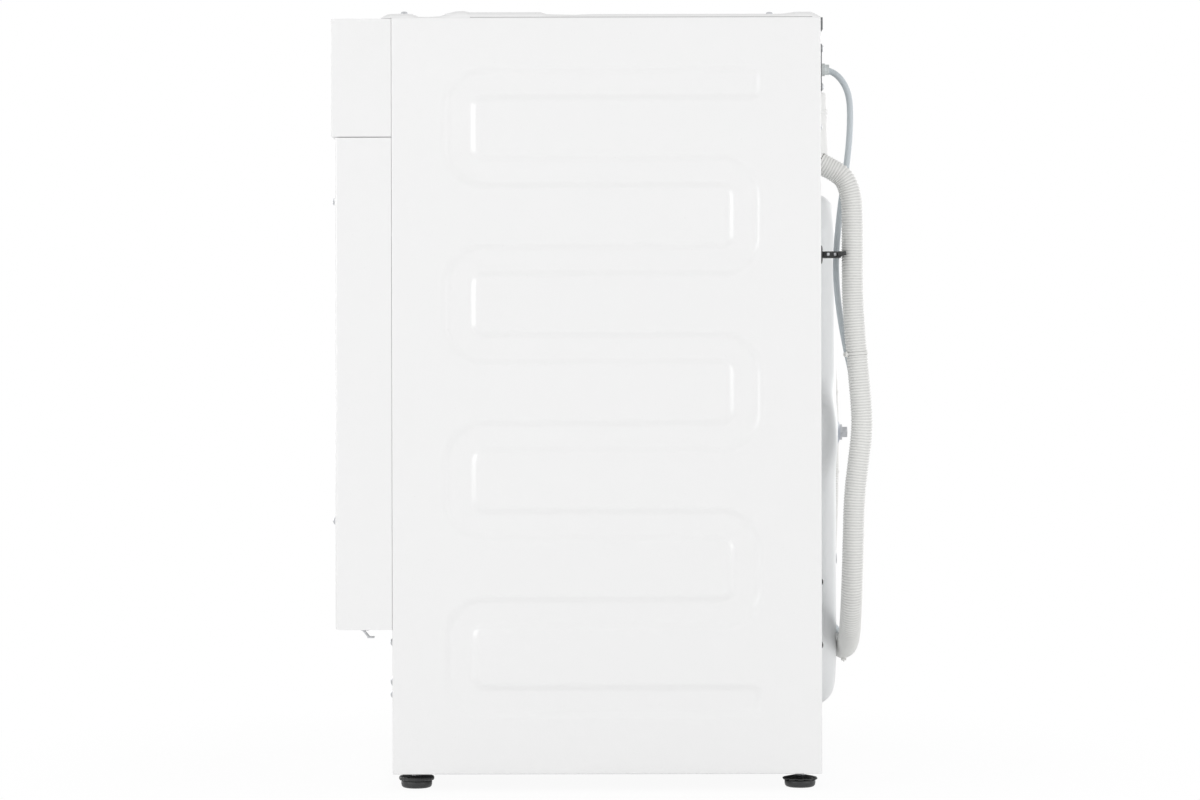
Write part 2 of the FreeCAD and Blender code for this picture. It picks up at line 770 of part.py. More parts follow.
def rib_wire(half, x):
    there = band_side(rib_path(), half, x)
    back = band_side(rib_path()[::-1], half, x)
    pieces = there + [(there[-1][2], None, back[0][0])] + back + [(back[-1][2], None, there[0][0])]
    edges = []
    for a, m, b in pieces:
        pa, pb = V(x, a.x, a.y), V(x, b.x, b.y)
        if m is None:
            edges.append(Part.LineSegment(pa, pb).toShape())
        else:
            edges.append(Part.Arc(pa, V(x, m.x, m.y), pb).toShape())
    return Part.Wire(edges)


def side_panel():
    half = RIB_WIDTH / 2
    sheet = fuse_all([
        box(x_side - SHEET, x_side, y_cab, y_back, z_base, z_side),
        box(x_side - FRONT_FLANGE, x_side, y_cab, y_cab + SHEET, z_base, z_fascia),
        box(x_side - REAR_FLANGE, x_side, y_back - SHEET, y_back, z_base, z_side),
        box(x_side - BOTTOM_FLANGE, x_side, y_cab, y_back, z_base, z_base + SHEET),
        box(x_side - TOP_FLANGE, x_side, y_cab, y_back, z_side - SHEET, z_side),
    ])
    inside = Part.makeLoft([rib_wire(half + SHEET, x_side - SHEET / 2),
                            rib_wire(half - RIB_SLOPE + SHEET, x_side - RIB_DEPTH - SHEET)], True, True)
    groove = Part.makeLoft([rib_wire(half, x_side),
                            rib_wire(half - RIB_SLOPE, x_side - RIB_DEPTH)], True, True)
    return sheet.fuse(inside).cut(groove)


# Base, plinth, feet and top

foot_x = x_side - FOOT_INSET_X
foot_front_y = y_cab + FOOT_INSET_FRONT
foot_rear_y = y_back - FOOT_INSET_REAR
damper_direction = radial(x_side - DAMPER_INSET, z_pan + DAMPER_RISE)


def base_frame():
    wide = x_side - SHEET - PANEL_FIT
    front = y_cab + SHEET
    rear = y_back - 2 * SHEET
    bar_top = z_pan + BAR_HEIGHT
    frame = [
        box(-wide, wide, front, rear, z_pan, z_pan + PAN_THICKNESS),
        box(-wide, wide, front + BAR_SETBACK, front + BAR_SETBACK + BAR_DEPTH, z_pan, bar_top),
        box(-wide, wide, rear - BAR_DEPTH, rear, z_pan, bar_top),
    ]
    lug_end = damper_reach + DAMPER_LUG_BASE
    lug = radial_rod(damper_direction, damper_y, DAMPER_LUG_RADIUS, damper_reach, lug_end)
    lug = lug.common(box(-wide, wide, front, rear, z_pan, z_drum))
    frame += [lug, mirrored(lug)]
    solid = fuse_all(frame)
    way_length = SHEET + BAR_SETBACK + BAR_DEPTH + CUT
    solid = solid.cut(rod((flap_x, y_cab, FLAP_Z), (0, 1, 0), PUMP_RADIUS + FILTER_WAY_GAP, way_length))
    for x in (-foot_x, foot_x):
        for y in (foot_front_y, foot_rear_y):
            solid = solid.cut(rod((x, y, z_pan - CUT), (0, 0, 1), STUD_RADIUS + SLIP, BAR_HEIGHT + 2 * CUT))
    return solid


def foot(x, y):
    pad = rod((x, y, 0), (0, 0, 1), PAD_RADIUS, PAD_HEIGHT)
    rim = edges_at(pad, lambda e: abs(e.BoundBox.ZMax) < 0.01)
    pad = pad.makeFillet(PAD_ROUND, rim)
    stud = rod((x, y, PAD_HEIGHT), (0, 0, 1), STUD_RADIUS, STUD_LENGTH)
    ring = pipe((x, y, PAD_HEIGHT + SLIP), (0, 0, 1), LOCK_RING_RADIUS, STUD_RADIUS, LOCK_RING_HEIGHT)
    return Part.makeCompound([pad.fuse(stud), ring])


def plinth_panel():
    wide = x_side - SHEET
    half = FLAP_WIDTH / 2 + FLAP_GAP
    tall = FLAP_HEIGHT / 2 + FLAP_GAP
    plate = box(-wide, wide, y_cab - SHEET, y_cab, z_base + PLINTH_LIFT, z_lower - PLINTH_DROP)
    plate = plate.cut(box(flap_x - half, flap_x + half, y_cab - 2 * SHEET, y_cab + SHEET,
                          FLAP_Z - tall, FLAP_Z + tall))
    e = FLAP_EAR / 2
    for x in (flap_x - half - FLAP_EAR, flap_x + half):
        ear = box(x, x + FLAP_EAR, y_flap - e, y_flap + e, z_flap - e, z_flap + e)
        plate = plate.fuse(ear).cut(rod((x, y_flap, z_flap), (1, 0, 0), FLAP_PIN_RADIUS + RUN_FIT, FLAP_EAR))
    return plate


def filter_flap():
    """Flap with a pivot pin at each side, turning in the ears of the plinth panel."""
    half = FLAP_WIDTH / 2
    low = FLAP_Z - FLAP_HEIGHT / 2
    y0 = y_flap - FLAP_THICKNESS / 2
    plate = box(flap_x - half, flap_x + half, y0, y0 + FLAP_THICKNESS, low, low + FLAP_HEIGHT)
    reach = half + FLAP_GAP + FLAP_EAR - SLIP
    return plate.fuse(rod((flap_x - reach, y_flap, z_flap), (1, 0, 0), FLAP_PIN_RADIUS, 2 * reach))


def top_pad(y0, y1, drop, wide, low):
    slope = TOP_SLOPE
    rise = TOP_PROUD - SHEET - drop

    def ring(inset, z):
        points = [V(-wide + inset, y0 + inset, z), V(wide - inset, y0 + inset, z),
                  V(wide - inset, y1 - inset, z), V(-wide + inset, y1 - inset, z)]
        return Part.makePolygon(points + points[:1])

    return Part.makeLoft([ring(0, low), ring(slope, low + rise)], True, True)


def top_cover():
    wide = x_side - TOP_INSET
    low = z_side + SHEET
    field = wide - TOP_FIELD_INSET
    plate = box(-wide, wide, y_cab - TOP_OVERHANG, y_back, z_side, low)
    fields = [(y_cab + a, y_cab + b, drop) for a, b, drop in TOP_FIELDS]
    fields.append((y_back - TOP_REAR_FIELD[0], y_back - TOP_REAR_FIELD[1], TOP_REAR_FIELD[2]))
    for start, end, drop in fields:
        plate = plate.fuse(top_pad(start, end, drop, field, low))
        plate = plate.cut(top_pad(start + SHEET, end - SHEET, drop, field - SHEET, z_side))
    return plate


# Front

def lower_front_panel():
    rear = y_cab - JOINT_GAP
    outer = box(-x_side, x_side, y_panel, rear, z_lower, z_lower_top)
    outer = outer.makeFillet(PANEL_ROUND, front_edges(outer, y_panel))
    inner = box(-x_side + SHEET, x_side - SHEET, y_panel + SHEET, rear + CUT,
                z_lower + SHEET, z_lower_top - SHEET)
    inner = inner.makeFillet(PANEL_ROUND - SHEET, front_edges(inner, y_panel + SHEET))
    tray = outer.cut(inner)
    tray = tray.cut(rod((0, y_panel - CUT, z_drum), (0, 1, 0), DISH_RADIUS, DISH_DEPTH))
    dish = turned([(DISH_RADIUS, y_panel), (DISH_RADIUS + SHEET, y_panel),
                   (DISH_RADIUS + SHEET, y_floor + SHEET), (MOUTH_RADIUS + SHEET, y_floor + SHEET),
                   (MOUTH_RADIUS + SHEET, y_floor + MOUTH_RIM),
                   (MOUTH_RADIUS, y_floor + MOUTH_RIM), (MOUTH_RADIUS, y_floor),
                   (DISH_RADIUS, y_floor)], 0, z_drum)
    panel = tray.fuse(dish)
    panel = panel.cut(lock_slot(y_floor - CUT, y_floor + SHEET + CUT))
    for x in (-x_side + DECOR_INSET, x_side - DECOR_INSET):
        for z in decor_zs:
            for dz in (-DECOR_PITCH / 2, DECOR_PITCH / 2):
                hole = rod((x, y_panel - CUT, z + dz), (0, 1, 0), DECOR_HOLE_RADIUS, SHEET + 2 * CUT)
                panel = panel.cut(hole)
    return panel


def control_fascia():
    rear = y_cab - JOINT_GAP
    outer = box(-x_side, x_side, y_fascia, rear, z_fascia, z_fascia_top)
    outer = outer.makeFillet(FASCIA_ROUND, front_edges(outer, y_fascia))
    inner = box(-x_side + WALL, x_side - WALL, y_fascia + WALL, rear + CUT,
                z_fascia + WALL, z_fascia_top - WALL)
    shell = outer.cut(inner)
    before = y_fascia - CUT
    through = WALL + 2 * CUT
    g = DRAWER_GAP
    shell = shell.cut(box(drawer_x0 - g, drawer_x1 + g, before, before + through, drawer_z0 - g, drawer_z1 + g))
    shell = shell.cut(rod((knob_x, before, z_controls), (0, 1, 0), KNOB_SHAFT_RADIUS + SLIP, through))
    shell = shell.cut(display_box(before, before + through))
    for x in button_xs:
        shell = shell.cut(button_box(x, SLIP, before, before + through))
    for x in (knob_x - POST_KNOB_OFFSET, button_xs[-1] + POST_BUTTON_OFFSET):
        for dz in (-POST_HALF, POST_HALF):
            post = rod((x, y_fascia + CUT, z_controls + dz), (0, 1, 0), POST_RADIUS, BOARD_SETBACK - CUT)
            shell = shell.fuse(post)
    return shell


def display_box(y0, y1):
    x0 = knob_x + KNOB_RADIUS + DISPLAY_KNOB_GAP
    x1 = button_xs[0] - BUTTON_WIDTH / 2 - DISPLAY_BUTTON_GAP
    tall = DISPLAY_HEIGHT / 2
    return box(x0, x1, y0, y1, z_controls - tall, z_controls + tall)


def display_window():
    return display_box(y_fascia, y_fascia + WALL)


def button_box(x, grow, y0, y1):
    half = BUTTON_WIDTH / 2 + grow
    tall = BUTTON_HEIGHT / 2 + grow
    return box(x - half, x + half, y0, y1, z_controls - tall, z_controls + tall)


def push_button(x):
    behind = y_fascia + WALL
    cap = button_box(x, 0.0, y_fascia - BUTTON_PROUD, behind + BUTTON_STEM)
    cap = cap.makeFillet(BUTTON_ROUND, front_edges(cap, y_fascia - BUTTON_PROUD))
    collar = button_box(x, COLLAR_EDGE, behind + SLIP, behind + COLLAR_END)
    return cap.fuse(collar)


def program_knob():
    back = y_fascia - KNOB_GAP
    cap = rod((knob_x, y_front, z_controls), (0, 1, 0), KNOB_RADIUS, back - y_front)
    cap = cap.makeFillet(KNOB_ROUND, edges_at(cap, lambda e: abs(e.BoundBox.YMax - y_front) < 0.01))
    mark_top = z_controls + KNOB_RADIUS - MARK_INSET
    mark = box(knob_x - MARK_WIDTH / 2, knob_x + MARK_WIDTH / 2, y_front - CUT, y_front + MARK_DEPTH,
               mark_top - MARK_LENGTH, mark_top)
    shaft = rod((knob_x, back - CUT, z_controls), (0, 1, 0), KNOB_SHAFT_RADIUS, BOARD_SETBACK)
    knob = cap.cut(mark).fuse(shaft)
    ring = KNOB_RADIUS + FLUTE_OFFSET
    for i in range(KNOB_FLUTES):
        a = 2 * math.pi * i / KNOB_FLUTES
        spot = (knob_x + ring * math.cos(a), y_front - CUT, z_controls + ring * math.sin(a))
        knob = knob.cut(rod(spot, (0, 1, 0), FLUTE_RADIUS, KNOB_PROUD + CUT))
    return knob


def control_board():
    y0 = y_fascia + BOARD_SETBACK
    y1 = y0 + BOARD_THICKNESS
    board = box(knob_x - POST_KNOB_OFFSET - BOARD_EDGE, button_xs[-1] + POST_BUTTON_OFFSET + BOARD_EDGE, y0, y1,
                z_controls - BOARD_HALF, z_controls + BOARD_HALF)
    hole = rod((knob_x, y0 - CUT, z_controls), (0, 1, 0), KNOB_SHAFT_RADIUS + RUN_FIT,
               BOARD_THICKNESS + 2 * CUT)
    parts = [board.cut(hole)]
    for offset, w, d, h in CHIPS:
        x = knob_x + offset
        parts.append(box(x, x + w, y1, y1 + d, z_controls - h / 2, z_controls + h / 2))
    return fuse_all(parts)


def detergent_drawer():
    front = box(drawer_x0, drawer_x1, y_fascia, y_fascia + DRAWER_FRONT, drawer_z0, drawer_z1)
    front = front.makeFillet(DRAWER_ROUND, front_edges(front, y_fascia))
    scoop_x = (drawer_x0 + drawer_x1) / 2 - SCOOP_HALF
    scoop_at = (scoop_x, y_fascia - SCOOP_PROUD, drawer_z0 + SCOOP_RISE)
    front = front.cut(rod(scoop_at, (1, 0, 0), SCOOP_RADIUS, 2 * SCOOP_HALF))
    y0 = y_fascia + DRAWER_FRONT
    x0 = drawer_x0 + TRAY_INSET
    x1 = drawer_x1 - TRAY_INSET
    z0 = z_tray
    tray = box(x0, x1, y0, y0 + TRAY_LENGTH, z0, z0 + TRAY_HEIGHT)
    for a, b in tray_bays():
        tray = tray.cut(box(a, b, y0 + TRAY_WALL, y0 + TRAY_LENGTH - TRAY_WALL,
                            z0 + TRAY_WALL, z0 + TRAY_HEIGHT + CUT))
    return front.fuse(tray)


def tray_bays():
    """The compartments side by side, as (x0, x1)."""
    x0 = drawer_x0 + TRAY_INSET + TRAY_WALL
    x1 = drawer_x1 - TRAY_INSET - TRAY_WALL
    step = (x1 - x0 + TRAY_WALL) / BAY_COUNT
    return [(x0 + i * step, x0 + (i + 1) * step - TRAY_WALL) for i in range(BAY_COUNT)]


def detergent_housing():
    g = HOUSING_GAP
    w = HOUSING_WALL
    y0 = y_fascia + WALL
    y1 = y_housing_end
    outer = box(drawer_x0 - g - w, drawer_x1 + g + w, y0, y1, z_housing, drawer_z1 + g + w)
    inner = box(drawer_x0 - g, drawer_x1 + g, y0 - CUT, y1 - w, z_housing + w, drawer_z1 + g)
    housing = outer.cut(inner)
    for x in (drawer_x0 + RAIL_INSET, drawer_x1 - RAIL_INSET - RAIL_WIDTH):
        rail = box(x, x + RAIL_WIDTH, y_fascia + DRAWER_FRONT + DRAWER_GAP, y1 - w, z_housing, z_tray - RUN_FIT)
        housing = housing.fuse(rail)
    return housing


# Door

def door_outer_ring():
    y1 = y_door + OUTER_RING_DEPTH
    slope = OUTER_RING_SLOPE
    ring = turned([(DOOR_WINDOW_RADIUS + WINDOW_BEVEL, y_door), (DOOR_RADIUS - slope, y_door),
                   (DOOR_RADIUS - 0.3 * slope, y_door + 0.25 * slope),
                   (DOOR_RADIUS, y_door + OUTER_RING_SHOULDER), (DOOR_RADIUS, y1), (DOOR_WINDOW_RADIUS, y1),
                   (DOOR_WINDOW_RADIUS, y_door + WINDOW_BEVEL)], 0, z_drum)
    half = HANDLE_HALF + CUT
    pocket = box(x_handle - HANDLE_HEEL - HANDLE_PLATE, DOOR_RADIUS + CUT, y_door - CUT, y_door + HANDLE_POCKET,
                 z_drum - half, z_drum + half)
    ring = ring.cut(pocket).cut(hook_slot(y_door - CUT, y1 + CUT))
    h = HINGE_HALF - HINGE_END_GAP
    arm = box(x_hinge, -DOOR_RADIUS + HINGE_ARM_ROOT, y_hinge - KNUCKLE_RADIUS, y_hinge + KNUCKLE_RADIUS,
              z_drum - h, z_drum + h)
    knuckle = rod((x_hinge, y_hinge, z_drum - h), (0, 0, 1), KNUCKLE_RADIUS, 2 * h)
    bore = rod((x_hinge, y_hinge, z_drum - HINGE_HALF), (0, 0, 1), HINGE_PIN_RADIUS + RUN_FIT, 2 * HINGE_HALF)
    reach = HANDLE_HALF + HANDLE_PIN_END + CUT
    pivot = rod((x_handle, y_pivot, z_drum - reach), (0, 0, 1), HANDLE_PIN_RADIUS + RUN_FIT, 2 * reach)
    return ring.cut(pivot).fuse(arm).fuse(knuckle).cut(bore)


def hook_slot(y0, y1):
    """Way for the latch hook through the rings of the door."""
    half = HOOK_HALF + HOOK_SIDE_GAP
    return box(x_handle + HOOK_SLOT_START, x_handle + HOOK_SLOT_END, y0, y1, z_drum - half, z_drum + half)


def door_inner_ring():
    y0 = y_door + OUTER_RING_DEPTH
    rim = DOOR_RADIUS - INNER_RING_INSET
    bore = BOWL_RADIUS + BOWL_GAP
    ring = turned([(GLASS_FLANGE_RADIUS, y0), (rim, y0), (rim - INNER_RING_TAPER, y_door_back),
                   (bore, y_door_back), (bore, y0 + GLASS_THICKNESS),
                   (GLASS_FLANGE_RADIUS, y0 + GLASS_THICKNESS)], 0, z_drum)
    return ring.cut(hook_slot(y0 - CUT, y_door_back + CUT))


def bowl_radius(y):
    """Outside radius of the glass bowl at depth y."""
    y0 = y_door + OUTER_RING_DEPTH + GLASS_THICKNESS
    y1 = y_door + BOWL_DEPTH
    return BOWL_RADIUS + (BOWL_END_RADIUS - BOWL_RADIUS) * (y - y0) / (y1 - y0)


def door_glass():
    y0 = y_door + OUTER_RING_DEPTH
    y1 = y_door + BOWL_DEPTH
    t = GLASS_THICKNESS
    end = BOWL_END_RADIUS
    corner = end - BOWL_CORNER
    turn = y1 - BOWL_CORNER_DEPTH
    crown = y1 + BOWL_CROWN
    return turned([(GLASS_FLANGE_RADIUS, y0), (GLASS_FLANGE_RADIUS, y0 + t), (BOWL_RADIUS, y0 + t), (end, turn),
                   (corner, y1), (0, crown), (0, crown - t), (corner - t / 4, y1 - t), (end - t, turn - t / 4),
                   (BOWL_RADIUS - t, y0)], 0, z_drum)


def door_handle():
    y0 = y_door + HANDLE_SINK
    y1 = y0 + HANDLE_PLATE
    end = y1 + HOOK_LENGTH
    x0 = x_handle + HOOK_START
    half = HANDLE_HALF
    plate = box(x_handle - HANDLE_HEEL, x_handle + HANDLE_WIDTH, y0, y1, z_drum - half, z_drum + half)
    plate = plate.makeFillet(HANDLE_ROUND, front_edges(plate, y0))
    reach = HANDLE_HALF + HANDLE_PIN_END
    pin = rod((x_handle, y_pivot, z_drum - reach), (0, 0, 1), HANDLE_PIN_RADIUS, 2 * reach)
    stem = box(x0, x0 + HOOK_THICKNESS, y1 - CUT, end, z_drum - HOOK_HALF, z_drum + HOOK_HALF)
    tip = box(x0, x0 + HOOK_TIP, end - HOOK_TIP_HEIGHT, end, z_drum - HOOK_HALF, z_drum + HOOK_HALF)
    return fuse_all([plate, pin, stem, tip])


def door_hinge():
    """Two lugs on the dish floor and the pin between them."""
    lugs = []
    half = HINGE_LUG_WIDTH / 2
    for z0 in (z_drum - HINGE_HALF - HINGE_LUG, z_drum + HINGE_HALF):
        lugs.append(box(x_hinge - half, x_hinge + half, y_hinge - HINGE_LUG_PROUD, y_floor, z0, z0 + HINGE_LUG))
    pin = rod((x_hinge, y_hinge, z_drum - HINGE_HALF - HINGE_LUG), (0, 0, 1), HINGE_PIN_RADIUS,
              2 * (HINGE_HALF + HINGE_LUG))
    return fuse_all(lugs + [pin])


def door_lock():
    y0 = y_floor + SHEET
    x0 = x_handle - LOCK_SLOT_START
    case = box(x0, x0 + LOCK_WIDTH, y0, y0 + LOCK_DEPTH, z_drum - LOCK_HALF, z_drum + LOCK_HALF)
    return case.cut(lock_slot(y0 - CUT, y0 + LOCK_SLOT_DEPTH))


def lock_slot(y0, y1):
    """Way for the latch hook through the dish floor into the lock."""
    half = LOCK_SLOT_HALF
    return box(x_handle + LOCK_SLOT_START, x_handle + LOCK_SLOT_END, y0, y1, z_drum - half, z_drum + half)


def door_gasket():
    w = GASKET_WALL
    lip = y_floor + GASKET_LIP_DEPTH
    lip_radius = bowl_radius(lip - GASKET_LIP_WIDTH) + LIP_GAP
    m = MOUTH_RADIUS
    edge = m + GASKET_FLANGE
    t = TUB_MOUTH_RADIUS + TUB_WALL
    fold = y_floor + GASKET_FOLD
    fold_end = y_floor + GASKET_FOLD_END
    flange = y_floor - GASKET_FLANGE_PROUD
    end = y_tub - TUB_WALL
    front = y_tub - TUB_MOUTH_LENGTH
    step = fold + 2.5 * w
    return turned([(edge, flange), (edge, y_floor), (m, y_floor), (m, fold), (edge, step), (edge, fold_end),
                   (t + w, front - CUT), (t + w, end), (t, end), (t, front), (edge - w, fold_end - CUT),
                   (edge - w, step + CUT), (m - w, fold + CUT), (m - w, y_floor + w),
                   (lip_radius, lip), (lip_radius, lip - GASKET_LIP_WIDTH), (m - w, flange)], 0, z_drum)


# Tub, drum and drive

def tub_front():
    rim = tub_split
    m = TUB_MOUTH_RADIUS
    r = tub_radius
    lip = y_tub - TUB_MOUTH_LENGTH
    w = TUB_WALL
    shell = turned([(m, lip), (m + w, lip), (m + w, y_tub), (r, y_tub), (r, rim), (r - w, rim),
                    (r - w, y_tub + w), (m, y_tub + w)], 0, z_drum)
    ears = [shell]
    for side in (1, -1):
        d = V(side * damper_direction.x, 0, damper_direction.z)
        ears.append(radial_rod(d, damper_y, DAMPER_EAR_RADIUS, r - CUT, r + DAMPER_EAR))
    half = SPRING_EAR_WIDTH / 2
    deep = SPRING_EAR_LENGTH / 2
    spring_ear = box(spring_x - half, spring_x + half, spring_y - deep, spring_y + deep,
                     z_spring_low - SPRING_EAR_DEPTH, z_spring_low)
    spring_ear = spring_ear.cut(tub_cylinder(r - TUB_WALL / 2))
    ears += [spring_ear, mirrored(spring_ear)]
    ears.append(radial_rod(sump_direction, pump_y, PUMP_SPIGOT_RADIUS, r - CUT, r + SUMP_SPIGOT))
    solid = fuse_all(ears)
    way = radial_rod(sump_direction, pump_y, PUMP_SPIGOT_BORE, r - TUB_GAP, r + SUMP_SPIGOT + CUT)
    return solid.cut(way)


def tub_rear():
    rim = tub_split
    r = tub_radius
    neck = SHAFT_RADIUS + TUB_WALL
    front_seat = y_tub_inner + BEARING_WIDTH
    rear_seat = y_hub_end - BEARING_WIDTH
    shell = turned([(r, rim), (r, y_tub_back), (HUB_RADIUS, y_tub_back), (HUB_RADIUS, y_hub_end),
                    (BEARING_REAR_RADIUS, y_hub_end), (BEARING_REAR_RADIUS, rear_seat), (neck, rear_seat),
                    (neck, front_seat), (BEARING_FRONT_RADIUS, front_seat), (BEARING_FRONT_RADIUS, y_tub_inner),
                    (r - TUB_WALL, y_tub_inner), (r - TUB_WALL, rim)], 0, z_drum)
    bosses = [shell]
    for x, z in transit_spots:
        bosses.append(rod((x, y_tub_inner + CUT, z), (0, 1, 0), BUSH_RADIUS + BOSS_EDGE, TRANSIT_BOSS))
    solid = fuse_all(bosses)
    for x, z in transit_spots:
        solid = solid.cut(rod((x, y_tub_back + CUT, z), (0, 1, 0), BOLT_RADIUS, TRANSIT_BOSS))
    for x in (-HEATER_HALF, HEATER_HALF):
        solid = solid.cut(rod((x, y_tub_inner - CUT, z_heater), (0, 1, 0), HEATER_ROD, TUB_WALL + 2 * CUT))
    return solid


sump_direction = radial(flap_x, FLAP_Z)
spring_x = tub_radius - SPRING_INSET
spring_y = y_housing_end + SPRING_SETBACK
z_spring_low = z_drum + math.sqrt(tub_radius ** 2 - spring_x ** 2) + SPRING_EAR_RISE
z_spring_top = rib_top + RIB_WIDTH / 2 + HANGER_RISE


def drum_shell():
    r = DRUM_RADIUS
    t = DRUM_SHEET
    m = DRUM_MOUTH_RADIUS
    y1 = y_drum_back
    c = DRUM_CORNER
    lip = y_drum + DRUM_MOUTH_LIP
    shoulder = y_drum + 0.3 * c
    turn = y_drum + 1.15 * c
    shell = turned([(m, y_drum), (m, lip), (m + t, lip), (m + t, y_drum + t), (r - c - t / 2, shoulder + t),
                    (r - t, turn + t / 2), (r - t, y1 - t), (r, y1 - t), (r, turn), (r - c, shoulder),
                    (m + t, y_drum)], 0, z_drum)
    back = turned([(0, y1 - t), (r, y1 - t), (r, y1), (0, y1)], 0, z_drum)
    return Part.makeCompound([shell, back])


def drum_lifters():
    y0 = y_drum + LIFTER_FRONT_GAP
    y1 = y_drum_back - DRUM_SHEET - LIFTER_BACK_GAP
    low = DRUM_RADIUS - DRUM_SHEET
    half = LIFTER_WIDTH / 2
    tip = LIFTER_TIP_WIDTH / 2
    root = z_drum - low - CUT
    top = z_drum - low + LIFTER_HEIGHT
    points = [V(-half, y0, root), V(half, y0, root), V(tip, y0, top), V(-tip, y0, top)]
    block = Part.Face(Part.makePolygon(points + points[:1])).extrude(V(0, y1 - y0, 0))
    along = edges_at(block, lambda e: abs(e.BoundBox.ZMin - top) < 0.01 and e.BoundBox.YLength > (y1 - y0) / 2)
    block = block.makeFillet(LIFTER_ROUND, along)
    block = block.common(rod((0, y0 - CUT, z_drum), (0, 1, 0), low, y1 - y0 + 2 * CUT))
    lifters = []
    for i in range(LIFTER_COUNT):
        turned_block = block.copy()
        turned_block.rotate(V(0, 0, z_drum), Y_AXIS, 360.0 * i / LIFTER_COUNT)
        lifters.append(turned_block)
    return Part.makeCompound(lifters)


def drum_spider():
    y0 = y_drum_back
    hub = rod((0, y0, z_drum), (0, 1, 0), SPIDER_HUB_RADIUS, SPIDER_THICKNESS)
    arms = [hub]
    for i in range(3):
        arm = box(-SPIDER_ARM_WIDTH / 2, SPIDER_ARM_WIDTH / 2, y0, y0 + SPIDER_THICKNESS - SPIDER_ARM_STEP,
                  z_drum, z_drum + DRUM_RADIUS)
        arm.rotate(V(0, 0, z_drum), Y_AXIS, 120.0 * i + 60.0)
        arms.append(arm)
    round_edge = rod((0, y0, z_drum), (0, 1, 0), DRUM_RADIUS - SPIDER_EDGE, SPIDER_THICKNESS)
    spider = fuse_all(arms).common(round_edge)
    spider = spider.cut(rod((0, y0 - CUT, z_drum), (0, 1, 0), SHAFT_RADIUS, SPIDER_THICKNESS + 2 * CUT))
    step = y_hub_end - BEARING_WIDTH - CUT
    tail_end = y_pulley + PULLEY_WIDTH + SHAFT_TAIL
    shaft = rod((0, y0, z_drum), (0, 1, 0), SHAFT_RADIUS, step - y0)
    shaft = shaft.fuse(rod((0, step - CUT, z_drum), (0, 1, 0), SHAFT_TAIL_RADIUS, tail_end - step + CUT))
    return Part.makeCompound([spider, shaft.removeSplitter()])


def drum_bearings():
    front = pipe((0, y_tub_inner, z_drum), (0, 1, 0), BEARING_FRONT_RADIUS,
                 SHAFT_RADIUS + RUN_FIT, BEARING_WIDTH)
    rear = pipe((0, y_hub_end - BEARING_WIDTH, z_drum), (0, 1, 0), BEARING_REAR_RADIUS,
                SHAFT_TAIL_RADIUS + RUN_FIT, BEARING_WIDTH)
    return Part.makeCompound([front, rear])


def drum_pulley():
    y0 = y_pulley
    rim = pipe((0, y0, z_drum), (0, 1, 0), PULLEY_RADIUS, PULLEY_RADIUS - PULLEY_RIM, PULLEY_WIDTH)
    hub = rod((0, y0, z_drum), (0, 1, 0), PULLEY_HUB_RADIUS, PULLEY_WIDTH)
    parts = [rim, hub]
    web = y0 + (PULLEY_WIDTH - SPOKE_THICKNESS) / 2
    for i in range(SPOKE_COUNT):
        spoke = box(-SPOKE_WIDTH / 2, SPOKE_WIDTH / 2, web, web + SPOKE_THICKNESS,
                    z_drum, z_drum + PULLEY_RADIUS - PULLEY_RIM / 2)
        spoke.rotate(V(0, 0, z_drum), Y_AXIS, 360.0 * i / SPOKE_COUNT)
        parts.append(spoke)
    bore = rod((0, y0 - CUT, z_drum), (0, 1, 0), SHAFT_TAIL_RADIUS, PULLEY_WIDTH + 2 * CUT)
    return fuse_all(parts).cut(bore)


y_belt = y_pulley + (PULLEY_WIDTH - BELT_WIDTH) / 2
motor_end = y_pulley - MOTOR_GAP
motor_z = z_drum - MOTOR_DROP
motor_reach = math.hypot(MOTOR_X, MOTOR_DROP)
motor_direction = radial(MOTOR_X, motor_z)


def drive_belt():
    def place(a, b):
        return V(a, y_belt, b)
    return band((0, z_drum), PULLEY_RADIUS + SLIP, (MOTOR_X, motor_z), MOTOR_PULLEY_RADIUS + SLIP,
                BELT_THICKNESS, place, V(0, BELT_WIDTH, 0))


def drive_motor():
    y0 = motor_end - MOTOR_LENGTH
    body = rod((MOTOR_X, y0, motor_z), (0, 1, 0), MOTOR_RADIUS, MOTOR_LENGTH - MOTOR_NOSE)
    nose = rod((MOTOR_X, y0, motor_z), (0, 1, 0), MOTOR_NOSE_RADIUS, MOTOR_LENGTH)
    parts = [body, nose]
    for inset in MOTOR_LEG_INSETS:
        parts.append(radial_rod(motor_direction, y0 + inset, MOTOR_LEG_RADIUS, tub_radius - TUB_WALL,
                                motor_reach - MOTOR_RADIUS / 2))
    solid = fuse_all(parts).cut(tub_cylinder(tub_radius))
    seat = motor_end - MOTOR_SHAFT_INSERT - CUT
    return solid.cut(rod((MOTOR_X, seat, motor_z), (0, 1, 0), MOTOR_SHAFT_RADIUS + RUN_FIT, MOTOR_LENGTH))


def motor_pulley():
    start = motor_end - MOTOR_SHAFT_INSERT
    shaft = rod((MOTOR_X, start, motor_z), (0, 1, 0), MOTOR_SHAFT_RADIUS, y_pulley - start + CUT)
    wheel = rod((MOTOR_X, y_pulley, motor_z), (0, 1, 0), MOTOR_PULLEY_RADIUS, PULLEY_WIDTH)
    rims = [rod((MOTOR_X, y, motor_z), (0, 1, 0), MOTOR_PULLEY_RADIUS + MOTOR_RIM, MOTOR_RIM_WIDTH)
            for y in (y_pulley - MOTOR_RIM_WIDTH, y_pulley + PULLEY_WIDTH)]
    return fuse_all([shaft, wheel] + rims)


